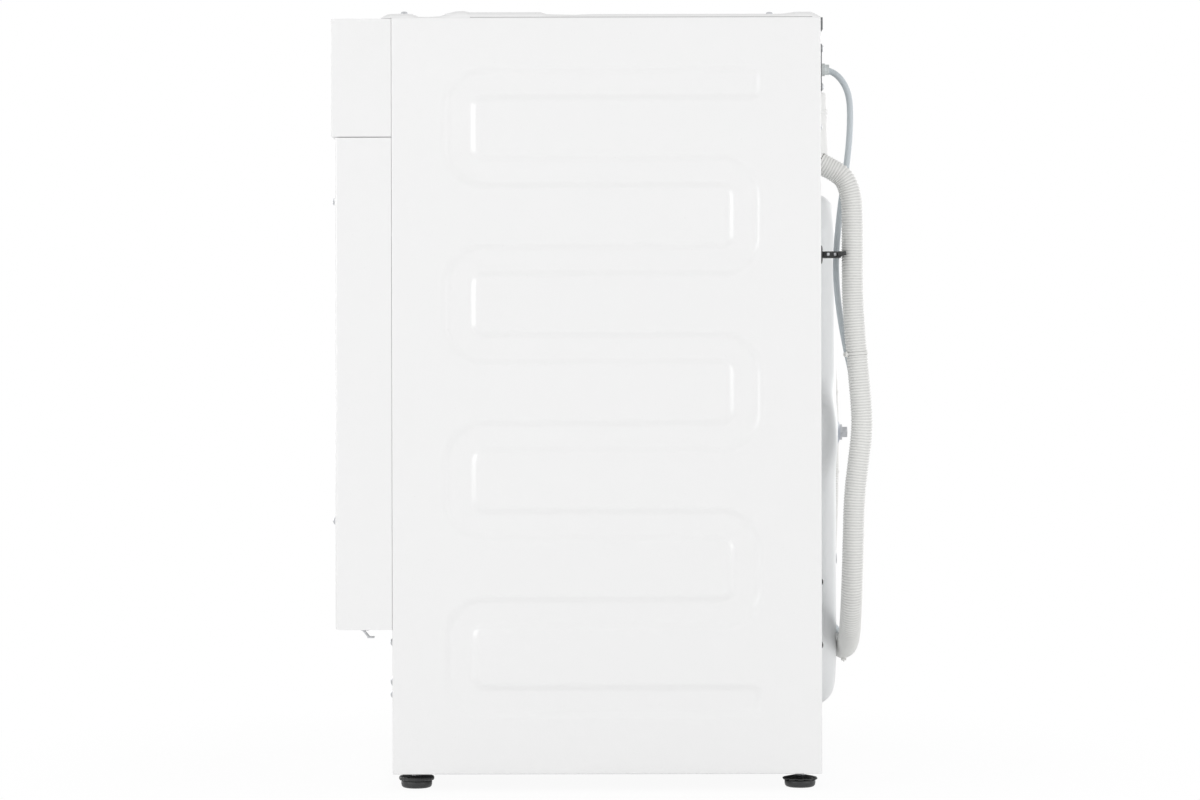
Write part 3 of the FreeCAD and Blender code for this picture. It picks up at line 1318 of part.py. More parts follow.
def counterweights():
    x0 = drawer_x1 + HOUSING_GAP + HOUSING_WALL + WEIGHT_HOUSING_GAP
    y0 = y_tub + WEIGHT_START
    crest = z_drum + tub_radius
    top = box(x0, spring_x - WEIGHT_SPRING_GAP, y0, y0 + WEIGHT_LENGTH,
              crest - WEIGHT_REACH, crest + WEIGHT_RISE)
    top = top.cut(tub_cylinder(tub_radius))
    y1 = y_tub - RING_WEIGHT_THICKNESS
    rim = tub_radius - RING_WEIGHT_EDGE
    ring = turned([(RING_WEIGHT_BORE, y1), (rim, y1), (rim, y_tub), (RING_WEIGHT_BORE, y_tub)], 0, z_drum)
    return Part.makeCompound([top, ring])


def suspension_springs():
    low = z_spring_low
    height = z_spring_top - low - 2 * SPRING_END_GAP
    helix = Part.makeHelix(SPRING_PITCH, height, SPRING_RADIUS)
    profile = Part.Wire(Part.Circle(V(SPRING_RADIUS, 0, 0), Y_AXIS, SPRING_WIRE).toShape())
    coil = Part.Wire(helix.Edges).makePipeShell([profile], True, True)
    coil.translate(V(spring_x, spring_y, low + SPRING_END_GAP))
    seat_low = rod((spring_x, spring_y, low), (0, 0, 1), SPRING_RADIUS + 2 * SPRING_WIRE, SPRING_SEAT)
    inner = x_side - SHEET
    half = HANGER_WIDTH / 2
    under = z_spring_top - SPRING_SEAT
    hanger = fuse_all([
        box(spring_x - half, inner, spring_y - half, spring_y + half, under, z_spring_top),
        box(inner - HANGER_WALL, inner, spring_y - half, spring_y + half, under, z_side - HANGER_FROM_TOP),
    ])
    solids = []
    for shape in (coil, seat_low, hanger):
        solids += [shape, mirrored(shape)]
    return Part.makeCompound(solids)


def dampers():
    solids = []
    r = tub_radius + DAMPER_EAR
    for side in (1, -1):
        d = V(side * damper_direction.x, 0, damper_direction.z)
        solids.append(radial_rod(d, damper_y, DAMPER_ROD, r, r + DAMPER_ROD_LENGTH))
        case = radial_rod(d, damper_y, DAMPER_RADIUS, r + DAMPER_CASE_GAP, damper_reach)
        solids.append(case.cut(radial_rod(d, damper_y, DAMPER_ROD + SLIP / 2, r, r + DAMPER_ROD_LENGTH + SLIP)))
    return Part.makeCompound(solids)


def heater():
    """A bent rod along the sump of the tub and its flange on the tub back."""
    y0 = y_tub_back + HEATER_TAIL
    y1 = y_tub_inner - HEATER_LENGTH
    h = HEATER_HALF
    path = Part.Wire([
        Part.LineSegment(V(-h, y0, z_heater), V(-h, y1, z_heater)).toShape(),
        Part.Arc(V(-h, y1, z_heater), V(0, y1 - h, z_heater), V(h, y1, z_heater)).toShape(),
        Part.LineSegment(V(h, y1, z_heater), V(h, y0, z_heater)).toShape(),
    ])
    profile = Part.Wire(Part.Circle(V(-h, y0, z_heater), Y_AXIS, HEATER_ROD).toShape())
    bent = path.makePipeShell([profile], True, False)
    edge = h + HEATER_FLANGE_EDGE
    flange = box(-edge, edge, y_tub_back, y_tub_back + HEATER_FLANGE,
                 z_heater - HEATER_FLANGE_DROP, z_heater + HEATER_FLANGE_EDGE)
    return bent.fuse(flange)


def drain_pump():
    y1 = pump_front + PUMP_LENGTH
    x, z = flap_x, FLAP_Z
    case = rod((x, pump_front, z), (0, 1, 0), PUMP_RADIUS, PUMP_LENGTH)
    motor = rod((x, y1 - CUT, z), (0, 1, 0), PUMP_MOTOR_RADIUS, PUMP_MOTOR_LENGTH + CUT)
    half = PUMP_LEG_WIDTH / 2
    leg_start = y_cab + SHEET + BAR_SETBACK + BAR_DEPTH + 2 * CUT
    leg = box(x - half, x + half, leg_start, y1, z_pan + PAN_THICKNESS, z - PUMP_RADIUS / 2)
    tip = sump_reach - PUMP_RADIUS - PUMP_SPIGOT
    spigot = radial_rod(sump_direction, pump_y, PUMP_SPIGOT_RADIUS, tip, sump_reach)
    out_y = y1 - PUMP_OUTLET_SETBACK
    out_x = x + PUMP_RADIUS - 2 * PUMP_WALL
    out_length = PUMP_OUTLET_LENGTH + 2 * PUMP_WALL
    outlet = rod((out_x, out_y, z), (1, 0, 0), PUMP_OUTLET_RADIUS, out_length)
    solid = fuse_all([case, motor, leg, spigot, outlet])
    chamber = PUMP_LENGTH - PUMP_BACK
    solid = solid.cut(rod((x, pump_front - CUT, z), (0, 1, 0), PUMP_RADIUS - PUMP_WALL, chamber + CUT))
    shaft_hole = IMPELLER_SHAFT_LENGTH + 2 * CUT
    solid = solid.cut(rod((x, pump_front + chamber - CUT, z), (0, 1, 0), IMPELLER_SHAFT + RUN_FIT, shaft_hole))
    way_end = sump_reach - PUMP_RADIUS / 2
    solid = solid.cut(radial_rod(sump_direction, pump_y, PUMP_SPIGOT_BORE, tip - CUT, way_end))
    return solid.cut(rod((out_x - CUT, out_y, z), (1, 0, 0), PUMP_OUTLET_BORE, out_length + 2 * CUT))


def pump_impeller():
    x, z = flap_x, FLAP_Z
    y1 = pump_front + PUMP_LENGTH - PUMP_BACK - IMPELLER_GAP
    y0 = y1 - IMPELLER_WIDTH
    hub = rod((x, y0, z), (0, 1, 0), IMPELLER_HUB_RADIUS, IMPELLER_WIDTH)
    shaft = rod((x, y1 - CUT, z), (0, 1, 0), IMPELLER_SHAFT, IMPELLER_SHAFT_LENGTH)
    parts = [hub, shaft]
    half = VANE_THICKNESS / 2
    for i in range(VANE_COUNT):
        vane = box(x - half, x + half, y0, y1, z, z + IMPELLER_RADIUS)
        vane.rotate(V(x, 0, z), Y_AXIS, 360.0 * i / VANE_COUNT)
        parts.append(vane)
    return fuse_all(parts)


def filter_cap():
    x, z = flap_x, FLAP_Z
    front = pump_front - FILTER_DISC
    plug_radius = PUMP_RADIUS - PUMP_WALL - SLIP
    disc = rod((x, front, z), (0, 1, 0), PUMP_RADIUS, FILTER_DISC - SLIP)
    plug = rod((x, pump_front - CUT, z), (0, 1, 0), plug_radius, FILTER_PLUG_LENGTH + CUT)
    half = FILTER_GRIP / 2
    tall = PUMP_RADIUS - FILTER_GRIP_EDGE
    grip = box(x - half, x + half, front - FILTER_GRIP_RISE, front + CUT, z - tall, z + tall)
    inside = rod((x, pump_front + FILTER_DISC, z), (0, 1, 0), plug_radius - FILTER_WALL, FILTER_PLUG_LENGTH)
    return fuse_all([disc, plug, grip]).cut(inside)


def inner_hoses():
    """Sump hose, hose from pump to drain outlet, hose from valve to drawer housing."""
    start = tub_radius + TUB_WALL
    end = sump_reach - PUMP_RADIUS - TUB_WALL
    sump = radial_rod(sump_direction, pump_y, PUMP_SPIGOT_RADIUS + TUBE_WALL, start, end)
    sump = sump.cut(radial_rod(sump_direction, pump_y, PUMP_SPIGOT_RADIUS, start, end))
    x = x_side - DRAIN_INSET
    y = pump_front + PUMP_LENGTH - PUMP_OUTLET_SETBACK
    x0 = flap_x + PUMP_RADIUS + TUBE_WALL
    near = y_sheet_back - DRAIN_APPROACH
    points = [(x0, y, FLAP_Z), (x0 + DRAIN_LEAD, y, FLAP_Z)]
    riser = y_tub_back + DRAIN_BEHIND
    points += [(x, y + DRAIN_TURN[0], FLAP_Z + DRAIN_TURN[1]), (x, riser - DRAIN_RUN[0], FLAP_Z + DRAIN_RUN[1])]
    points += [(x, riser, FLAP_Z + DRAIN_RISE), (x, riser, outlet_z - DRAIN_DROP)]
    points += [(hose_x, near, outlet_z), (hose_x, y_sheet_back - OUTLET_NECK, outlet_z)]
    drain = round_path(points)
    drain = sweep_round(drain, PUMP_OUTLET_RADIUS + TUBE_WALL).cut(sweep_round(drain, PUMP_OUTLET_RADIUS))
    y_end = y_housing_end
    z_end = drawer_z1 - FILL_DROP
    inlet = round_path([(valve_x, y_valve, valve_z), (valve_x, y_valve - FILL_LEAD, valve_z),
                        (valve_x, y_end + 2 * FILL_LEAD, z_end), (valve_x, y_end, z_end)])
    inlet = sweep_round(inlet, VALVE_SPIGOT_RADIUS + TUBE_WALL).cut(sweep_round(inlet, VALVE_SPIGOT_RADIUS))
    return Part.makeCompound([sump, drain, inlet])


def round_path(points):
    """Straight runs joined by arcs, each arc as large as its two runs allow."""
    points = [V(*p) for p in points]
    edges = []
    here = points[0]
    for i in range(1, len(points) - 1):
        before = points[i - 1] - points[i]
        after = points[i + 1] - points[i]
        reach = 0.45 * min(before.Length, after.Length)
        a = points[i] + before.normalize() * reach
        b = points[i] + after.normalize() * reach
        half = (math.pi - before.getAngle(after)) / 2
        radius = reach / math.tan(half)
        radii.append(radius)
        centre = points[i] + (before + after).normalize() * (radius / math.cos(half))
        middle = centre + (points[i] - centre).normalize() * radius
        edges.append(Part.LineSegment(here, a).toShape())
        edges.append(Part.Arc(a, middle, b).toShape())
        here = b
    edges.append(Part.LineSegment(here, points[-1]).toShape())
    return Part.Wire(edges)


radii = []


def sweep_round(path, radius):
    first = path.Edges[0]
    ring = Part.Circle(first.Vertexes[0].Point, first.tangentAt(first.FirstParameter), radius)
    return path.makePipeShell([Part.Wire(ring.toShape())], True, False)


# Back of the machine

def bulge(shrink, shift):
    """Pressed-out field of the rear panel: rounded outlines set one behind the other."""
    wires = []
    steps = ((1.0, 0.0), (0.45, 0.52), (0.12, 0.88), (0.0, 1.0))
    rise = BULGE_DEPTH + 2 * SHEET
    for side, out in steps:
        half = BULGE_HALF + BULGE_RUN * side - shrink
        low = BULGE_BOTTOM + BULGE_RUN * (1 - side) + shrink
        high = bulge_top - BULGE_RUN * (1 - side) - shrink
        y = y_sheet_back - SHEET + rise * out + shift
        wires.append(rounded_rectangle(-half, half, low, high, BULGE_CORNER, y))
    return Part.makeLoft(wires, True, True)


def rear_panel():
    wide = x_side - SHEET - PANEL_FIT
    flat = box(-wide, wide, y_sheet_back - SHEET, y_sheet_back, z_pan, z_side - SHEET)
    panel = flat.fuse(bulge(0.0, 0.0)).cut(bulge(SHEET, -SHEET))
    deep = BULGE_DEPTH + 2 * CUT
    cuts = [rod((0, y_back, z_drum), (0, 1, 0), SERVICE_OPENING, deep)]
    cuts += [rod((x, y_back, z), (0, 1, 0), BUSH_RADIUS + SLIP, deep) for x, z in transit_spots]
    inside = y_sheet_back - SHEET - CUT
    through = SHEET + 2 * CUT
    cuts.append(rod((valve_x, inside, valve_z), (0, 1, 0), PORT_RADIUS + 2 * SLIP, through))
    cuts.append(rod((gland_x, inside, gland_z), (0, 1, 0), GLAND_RADIUS + 2 * GLAND_NUT_STEP, through))
    cuts.append(rod((hose_x, inside, outlet_z), (0, 1, 0), HOSE_RADIUS + SLIP, through))
    for shape in cuts:
        panel = panel.cut(shape)
    return panel


def service_cover():
    y0 = y_bulge
    y1 = y0 + SERVICE_RISE
    r = SERVICE_RADIUS
    land = r - SERVICE_LAND
    field = land - SERVICE_SLOPE
    return turned([(0, y1 + SHEET), (field, y1 + SHEET), (land, y0 + SHEET), (r, y0 + SHEET), (r, y0),
                   (land - SLIP, y0), (field - SLIP, y1), (0, y1)], 0, z_drum)


def transit_bushes():
    solids = []
    boss_end = y_tub_inner + CUT + TRANSIT_BOSS
    for x, z in transit_spots:
        flange = turned([(BOLT_RADIUS + SLIP, y_bulge), (BUSH_FLANGE_RADIUS, y_bulge),
                         (BUSH_FLANGE_RADIUS - BUSH_BEVEL, y_bulge + BUSH_BEVEL_RISE),
                         (TRANSIT_WASHER_RADIUS, y_bulge + BUSH_FLANGE),
                         (BOLT_RADIUS + SLIP, y_bulge + BUSH_FLANGE)], x, z)
        sleeve = pipe((x, boss_end, z), (0, 1, 0), BUSH_RADIUS, BOLT_RADIUS + SLIP, y_bulge - boss_end)
        solids.append(flange.fuse(sleeve).removeSplitter())
    return Part.makeCompound(solids)


def transit_bolts():
    """Hexagon bolts into the tub back, each with its dark washer."""
    solids = []
    for x, z in transit_spots:
        seat = y_bulge + BUSH_FLANGE
        washer = pipe((x, seat, z), (0, 1, 0), TRANSIT_WASHER_RADIUS, BOLT_RADIUS, TRANSIT_WASHER)
        corners = [V(x + BOLT_HEAD_RADIUS * math.cos(math.pi * i / 3), seat + TRANSIT_WASHER,
                     z + BOLT_HEAD_RADIUS * math.sin(math.pi * i / 3)) for i in range(7)]
        head = Part.Face(Part.makePolygon(corners)).extrude(V(0, BOLT_HEAD, 0))
        start = y_tub_back + BOLT_END_GAP
        shank = rod((x, start, z), (0, 1, 0), BOLT_RADIUS, seat + TRANSIT_WASHER - start + CUT)
        solids += [washer, head.fuse(shank)]
    return Part.makeCompound(solids)


def rear_brackets():
    """Cable plate, and the small bare bracket at the top rear corner."""
    half = PLATE_WIDTH / 2
    tall = PLATE_HEIGHT / 2
    y1 = y_back + PLATE_PROUD
    plate = box(plate_x - half, plate_x + half, y_sheet_back, y1, plate_z - tall, plate_z + tall)
    plate = plate.makeFillet(PLATE_ROUND, edges_at(plate, lambda e: e.BoundBox.YLength > PLATE_PROUD / 2))
    stem_hole = rod((gland_x, y_sheet_back, gland_z), (0, 1, 0), GLAND_RADIUS - GLAND_STEM_STEP, GLAND_LENGTH)
    plate = plate.cut(stem_hole)
    outer = x_side - BRACKET_INSET
    top = z_side - BRACKET_DROP
    bracket = box(outer - BRACKET_WIDTH, outer, y_back, y_back + BRACKET_THICKNESS, top - BRACKET_HEIGHT, top)
    return Part.makeCompound([plate, bracket])


def cable_gland():
    y0 = y_back + PLATE_PROUD
    start = y_sheet_back - GLAND_NUT_GAP - GLAND_NUT
    collar = rod((gland_x, y0, gland_z), (0, 1, 0), GLAND_RADIUS, GLAND_COLLAR)
    nose = rod((gland_x, y0, gland_z), (0, 1, 0), GLAND_RADIUS - GLAND_NOSE_STEP, GLAND_LENGTH)
    stem = rod((gland_x, start, gland_z), (0, 1, 0), GLAND_RADIUS - GLAND_STEM_STEP, y0 - start + CUT)
    nut = rod((gland_x, start, gland_z), (0, 1, 0), GLAND_RADIUS + GLAND_NUT_STEP, GLAND_NUT)
    solid = fuse_all([collar, nose, stem, nut])
    return solid.cut(rod((gland_x, y0, gland_z), (0, 1, 0), CABLE_RADIUS, GLAND_LENGTH + CUT))


def inlet_valve():
    y0 = y_valve
    y1 = y_sheet_back - SHEET
    body_start = y0 + VALVE_SPIGOT
    body = box(valve_x - VALVE_HALF_WIDTH, valve_x + VALVE_HALF_WIDTH, body_start, y1,
               valve_z - VALVE_HALF_HEIGHT, valve_z + VALVE_HALF_HEIGHT)
    coil_y = (body_start + y1) / 2
    coil = rod((valve_x, coil_y, valve_z + COIL_RISE), (1, 0, 0), COIL_RADIUS, COIL_LENGTH)
    port = rod((valve_x, y1 - CUT, valve_z), (0, 1, 0), PORT_RADIUS, PORT_LENGTH + SHEET + CUT)
    shoulder = rod((valve_x, y1 - CUT, valve_z), (0, 1, 0), PORT_RADIUS + SLIP, SHEET + CUT)
    spigot = rod((valve_x, y0, valve_z), (0, 1, 0), VALVE_SPIGOT_RADIUS, VALVE_SPIGOT + CUT)
    solid = fuse_all([body, coil, port, shoulder, spigot])
    way = rod((valve_x, y1 - 2 * CUT, valve_z), (0, 1, 0), PORT_RADIUS - PORT_WALL, PORT_LENGTH + 4 * CUT)
    return solid.cut(way)


outlet_direction = V(0, math.cos(math.radians(OUTLET_TILT)), -math.sin(math.radians(OUTLET_TILT)))
hose_start = V(hose_x, y_back + OUTLET_PROUD, outlet_z)


def drain_outlet():
    """White moulding: a pipe up the rear panel with a ring, and a tilted spigot for the hose."""
    d = outlet_direction
    axis_y = y_back - OUTLET_SINK
    foot_z = outlet_z + OUTLET_PIPE_RISE
    ring_z = outlet_z + OUTLET_RING_RISE
    pipe_up = rod((hose_x, axis_y, foot_z), (0, 0, 1), OUTLET_PIPE_RADIUS, OUTLET_PIPE_LENGTH)
    ring = rod((hose_x, axis_y, ring_z), (0, 0, 1), OUTLET_RING_RADIUS, OUTLET_RING)
    collar_radius = HOSE_RADIUS + OUTLET_COLLAR_EDGE
    collar = Part.makeCylinder(collar_radius, OUTLET_COLLAR, hose_start - d * OUTLET_COLLAR, d)
    wide = 3 * HOSE_RADIUS
    behind = box(hose_x - wide, hose_x + wide, y_sheet_back - wide, y_sheet_back,
                 outlet_z - wide, outlet_z + OUTLET_PIPE_LENGTH + wide)
    front = fuse_all([pipe_up, ring, collar]).cut(behind)
    inside = OUTLET_COLLAR - 2 * CUT
    nipple = Part.makeCylinder(HOSE_BORE - SLIP, inside + OUTLET_NIPPLE, hose_start - d * inside, d)
    stub_y = y_sheet_back - OUTLET_STUB
    neck_y = y_sheet_back - OUTLET_NECK
    stub = rod((hose_x, stub_y, outlet_z), (0, 1, 0), OUTLET_STUB_RADIUS, OUTLET_STUB + CUT)
    neck = rod((hose_x, neck_y, outlet_z), (0, 1, 0), HOSE_RADIUS + SLIP / 2, OUTLET_NECK + CUT)
    return fuse_all([front, nipple.cut(behind), stub, neck])


def hose_clips():
    """Plate on the rear panel and an arm whose saddle takes the hose."""
    off = hose_off + HOSE_LEG[0][0]
    y_axis = y_back + off
    half, tall = CLIP_BASE_WIDTH / 2, CLIP_BASE_HEIGHT / 2
    base = box(hose_x - half, hose_x + half, y_sheet_back, y_back + CLIP_BASE, clip_z - tall, clip_z + tall)
    half, tall = CLIP_ARM_WIDTH / 2, CLIP_ARM_HEIGHT / 2
    arm = box(hose_x - half, hose_x + half, y_back, y_axis - HOSE_BORE, clip_z - tall, clip_z + tall)
    half = CLIP_JAW_WIDTH / 2
    jaw = box(hose_x - half, hose_x + half, y_axis - CLIP_JAW_START, y_axis - CLIP_JAW_END,
              clip_z - tall, clip_z + tall)
    clip = fuse_all([base, arm, jaw])
    clip = clip.cut(rod((hose_x, y_axis, clip_z - CLIP_BASE_HEIGHT), (0, 0, 1), HOSE_RADIUS + CLIP_FIT,
                        2 * CLIP_BASE_HEIGHT))
    return Part.makeCompound([clip, mirrored(clip)])


def plinth_hook():
    """Small bent strip under the front panel."""
    y0 = y_panel + HOOK_SETBACK
    x0 = x_side - HOOK_INSET
    y1 = y0 + HOOK_STRIP
    z1 = z_lower - HOOK_STRIP
    z0 = z1 - HOOK_DROP
    top = box(x0, x0 + HOOK_WIDTH, y0, y0 + HOOK_TAB, z1, z_lower)
    y2 = y1 + HOOK_LEAN
    points = [V(x0, y1, z1), V(x0, y1 + HOOK_LEG, z1), V(x0, y2 + HOOK_LEG, z0), V(x0, y2, z0)]
    leg = Part.Face(Part.makePolygon(points + points[:1])).extrude(V(HOOK_WIDTH, 0, 0))
    foot = box(x0, x0 + HOOK_WIDTH, y2, y2 + HOOK_LEG + HOOK_FOOT, z0 - HOOK_STRIP, z0)
    return fuse_all([top, leg, foot])


def cabinet_screws():
    heads = []
    y_plinth = y_cab - SHEET
    top_seat = z_side + TOP_PROUD - TOP_FIELDS[0][2]
    for side in (-1, 1):
        x = side * (x_side - SCREW_INSET)
        heads.append(screw((x, y_cab + TOP_SCREW_FRONT, top_seat), (0, 0, 1), SCREW_RADIUS, TOP_SCREW_HEAD))
        heads.append(screw((x, y_back - TOP_SCREW_REAR, z_side + SHEET), (0, 0, 1)))
        for z in dome_zs:
            heads.append(screw((side * (x_side - DOME_INSET), y_panel, z), (0, -1, 0), DOME_RADIUS, DOME_HEAD))
        for z in (PLINTH_KNOB_Z - PLINTH_SCREW_INSET, z_lower - PLINTH_SCREW_INSET):
            heads.append(screw((x, y_plinth, z), (0, -1, 0), DOME_RADIUS, DOME_HEAD))
        heads.append(screw((x, y_plinth, PLINTH_KNOB_Z), (0, -1, 0), PLINTH_KNOB_RADIUS, PLINTH_KNOB_HEAD))
        for z in REAR_SCREW_ZS + (z_side - REAR_SCREW_FROM_TOP,):
            heads.append(screw((x, y_back, z), (0, 1, 0)))
    x = plate_x + PLATE_WIDTH / 2 - PLATE_SCREW_INSET
    for z in (plate_z - PLATE_SCREW_HALF, plate_z + PLATE_SCREW_HALF):
        heads.append(screw((x, y_back + PLATE_PROUD, z), (0, 1, 0)))
    r = SERVICE_RADIUS - SERVICE_SCREW_INSET
    for i in range(SERVICE_SCREWS):
        a = math.pi * (2 * i + 1) / SERVICE_SCREWS
        heads.append(screw((r * math.cos(a), y_bulge + SHEET, z_drum + r * math.sin(a)), (0, 1, 0)))
    return Part.makeCompound(heads)


# Drain hose and mains cable



def hose_points():
    """Route of the hose: outlet, clip, hanging leg, bend across the back, second leg and clip."""
    first = hose_start + outlet_direction * (2 * HOSE_RADIUS)
    low = HOSE_BEND[0][1]
    above = V(hose_x, y_back + hose_off + HOSE_CLIP_LEAN, clip_z + HOSE_CLIP_RISE)
    elbow = V(hose_x, y_back + HOSE_ELBOW[0], outlet_z - HOSE_ELBOW[1])
    points = [hose_start, first, elbow, above]
    for out, share in HOSE_LEG:
        points.append(V(hose_x, y_back + hose_off + out, clip_z - share * (clip_z - low)))
    bend = [V(hose_x - inset, y_back + hose_off + HOSE_BEND_OUT, z) for inset, z in HOSE_BEND]
    points += bend
    points += [V(-p.x, p.y, p.z) for p in bend[::-1]]
    far_y = y_back + hose_off + HOSE_LEG[0][0]
    for lean, share in FAR_LEG:
        points.append(V(-hose_x - lean, far_y + lean, low + share * (clip_z - low)))
    return points


def hose_path():
    return round_path([tuple(p) for p in hose_points()])


def cable_points():
    """Route of the cable: gland, loop, down beside the hose, along its bend, up to the plug."""
    low = HOSE_BEND[0][1]
    points = [V(gland_x, y_back + PLATE_PROUD, gland_z)]
    for inset, out, share in CABLE_LEG:
        points.append(V(x_side - inset, y_back + out, gland_z - share * (gland_z - low)))
    apart = HOSE_RADIUS + CABLE_RADIUS + CORD_GAP
    y = y_back + hose_off + HOSE_BEND_OUT
    bend = []
    for i in range(1, len(HOSE_BEND)):
        inset, z = HOSE_BEND[i]
        before = HOSE_BEND[i - 1]
        after = HOSE_BEND[i + 1] if i < len(HOSE_BEND) - 1 else (2 * hose_x - inset, z)
        along = V(after[0] - before[0], after[1] - before[1], 0).normalize()
        bend.append(V(hose_x - inset + along.y * apart, y, z + along.x * apart))
    points += [V(bend[0].x, y - CABLE_SWING, bend[0].z)] + bend[1:]
    points += [V(-p.x, p.y, p.z) for p in bend[::-1]]
    for inset, out, share in CABLE_FAR:
        points.append(V(-x_side + inset, y_back + out, low + share * (clip_z - low)))
    return points


def cable_path():
    return round_path([tuple(p) for p in cable_points()])


def ribbed_hose():
    path = hose_path()
    length = path.Length
    pitch = length / HOSE_RIBS
    shares = ((0.0, HOSE_ROOT), (0.25, HOSE_RADIUS), (0.5, HOSE_RADIUS), (0.75, HOSE_ROOT))
    stops = [(i * pitch + share * pitch, r) for i in range(HOSE_RIBS) for share, r in shares]
    stops.append((length, HOSE_ROOT))
    wires = []
    axis = X_AXIS
    done = 0.0
    edges = path.Edges
    index = 0
    for s, r in stops:
        while index < len(edges) - 1 and s > done + edges[index].Length:
            done += edges[index].Length
            index += 1
        edge = edges[index]
        at = edge.getParameterByLength(max(0.0, min(s - done, edge.Length)))
        tangent = edge.tangentAt(at)
        axis = (axis - tangent * axis.dot(tangent)).normalize()
        ring = Part.Circle(edge.valueAt(at), tangent, r)
        ring.XAxis = axis
        wires.append(Part.Wire(ring.toShape()))
    outer = Part.makeLoft(wires, True, True)
    bore = sweep_round(path, HOSE_BORE)
    hose = outer.cut(bore)
    end = path.Edges[-1]
    tangent = end.tangentAt(end.LastParameter)
    top = end.valueAt(end.LastParameter)
    cuff = Part.makeCylinder(CUFF_RADIUS, CUFF_LENGTH, top, tangent)
    cuff = cuff.cut(Part.makeCylinder(HOSE_BORE, CUFF_LENGTH + 2 * CUT, top - tangent * CUT, tangent))
    print("hose length", round(length + CUFF_LENGTH, 1), "ribs", HOSE_RIBS)
    return Part.makeCompound([hose, cuff])


def mains_cable():
    del radii[:]
    path = cable_path()
    tube = sweep_round(path, CABLE_RADIUS)
    section = math.pi * CABLE_RADIUS ** 2
    print("cable length", round(path.Length, 1), "least radius", round(min(radii), 1),
          "volume share", round(tube.Volume / (section * path.Length), 4))
    return tube


def mains_plug():
    path = cable_path()
    end = path.Edges[-1]
    top = end.valueAt(end.LastParameter)
    d = end.tangentAt(end.LastParameter)
    side = d.cross(Y_AXIS).normalize()
    neck = Part.makeCone(PLUG_NECK_RADIUS, PLUG_SHOULDER_RADIUS, PLUG_NECK, top, d)
    body = Part.makeCylinder(PLUG_RADIUS, PLUG_LENGTH, top + d * PLUG_NECK, d)
    body = body.makeFillet(PLUG_ROUND, body.Edges[:1])
    solid = neck.fuse(body)
    face = top + d * (PLUG_NECK + PLUG_LENGTH - CUT)
    for s in (-PLUG_PIN_PITCH / 2, PLUG_PIN_PITCH / 2):
        solid = solid.fuse(Part.makeCylinder(PLUG_PIN_RADIUS, PLUG_PIN_LENGTH + CUT, face + side * s, d))
    return solid


def cable_ties():
    """Bands around the hose and the cable where the two run together."""
    low = HOSE_BEND[0][1]
    hose_spots = hose_path().discretize(Number=1500)
    cable_spots = cable_path().discretize(Number=1500)
    ties = []
    for x, z in TIE_SPOTS:
        if z is None:
            h = min(hose_spots, key=lambda p: abs(p.x - x) + (p.z > low) * HEIGHT)
            c = min(cable_spots, key=lambda p: abs(p.x - x) + (p.z > low) * HEIGHT)
            centres = ((h.y, h.z), (c.y, c.z))
            start = V(x - TIE_WIDTH / 2, 0, 0)
            first, second, along = Y_AXIS, Z_AXIS, V(TIE_WIDTH, 0, 0)
        else:
            h = min(hose_spots, key=lambda p: abs(p.z - z) + (p.x * x < 0) * HEIGHT)
            c = min(cable_spots, key=lambda p: abs(p.z - z) + (p.x * x < 0) * HEIGHT)
            centres = ((h.x, h.y), (c.x, c.y))
            start = V(0, 0, z - TIE_WIDTH / 2)
            first, second, along = X_AXIS, Y_AXIS, V(0, 0, TIE_WIDTH)
        ties.append(band(centres[0], HOSE_RADIUS + TIE_GAP, centres[1], CABLE_RADIUS + TIE_GAP, TIE_THICKNESS,
                         lambda a, b: start + first * a + second * b, along))
    return Part.makeCompound(ties)


def write(name, shape):
    shape.exportStep("parts/" + name + ".step")
    bad = [s for s in shape.Solids if not s.isValid() or s.Volume <= 0]
    if bad or not shape.Solids:
        print("CHECK", name, len(shape.Solids), "solids,", len(bad), "bad")


right = side_panel()
write("side_panel_right", right)
write("side_panel_left", mirrored(right))
NODES = {
    "rear_panel": rear_panel, "service_cover": service_cover, "top_cover": top_cover, "base_frame": base_frame,
    "lower_front_panel": lower_front_panel, "plinth_panel": plinth_panel, "control_fascia": control_fascia,
    "detergent_housing": detergent_housing, "rear_brackets": rear_brackets, "cable_gland": cable_gland,
    "inlet_valve": inlet_valve, "hose_clips": hose_clips, "transit_bolts": transit_bolts,
    "transit_bushes": transit_bushes, "cabinet_screws": cabinet_screws, "plinth_hook": plinth_hook,
    "drain_outlet": drain_outlet, "door_lock": door_lock, "door_gasket": door_gasket,
    "display_window": display_window, "control_board": control_board, "tub_front": tub_front,
    "tub_rear": tub_rear, "counterweights": counterweights, "suspension_springs": suspension_springs,
    "dampers": dampers, "drive_motor": drive_motor, "drive_belt": drive_belt, "drum_bearings": drum_bearings,
    "heater": heater, "drain_pump": drain_pump, "inner_hoses": inner_hoses, "door_hinge": door_hinge,
    "motor_pulley": motor_pulley, "drum_pulley": drum_pulley, "drum_shell": drum_shell,
    "drum_lifters": drum_lifters, "drum_spider": drum_spider, "pump_impeller": pump_impeller,
    "filter_cap": filter_cap, "filter_flap": filter_flap, "door_outer_ring": door_outer_ring,
    "door_inner_ring": door_inner_ring, "door_glass": door_glass, "door_handle": door_handle,
    "detergent_drawer": detergent_drawer, "program_knob": program_knob, "mains_plug": mains_plug,
}
for name, make in NODES.items():
    write(name, make())
for name, x in zip(BUTTON_NAMES, button_xs):
    write(name, push_button(x))
for side, x in (("left", -foot_x), ("right", foot_x)):
    write("foot_front_" + side, foot(x, foot_front_y))
    write("foot_rear_" + side, foot(x, foot_rear_y))
hose = ribbed_hose()
cable = mains_cable()
write("drain_hose", hose)
write("mains_cable", cable)
write("cable_ties", cable_ties())
print("cable clears hose by", round(hose.distToShape(cable)[0], 2))
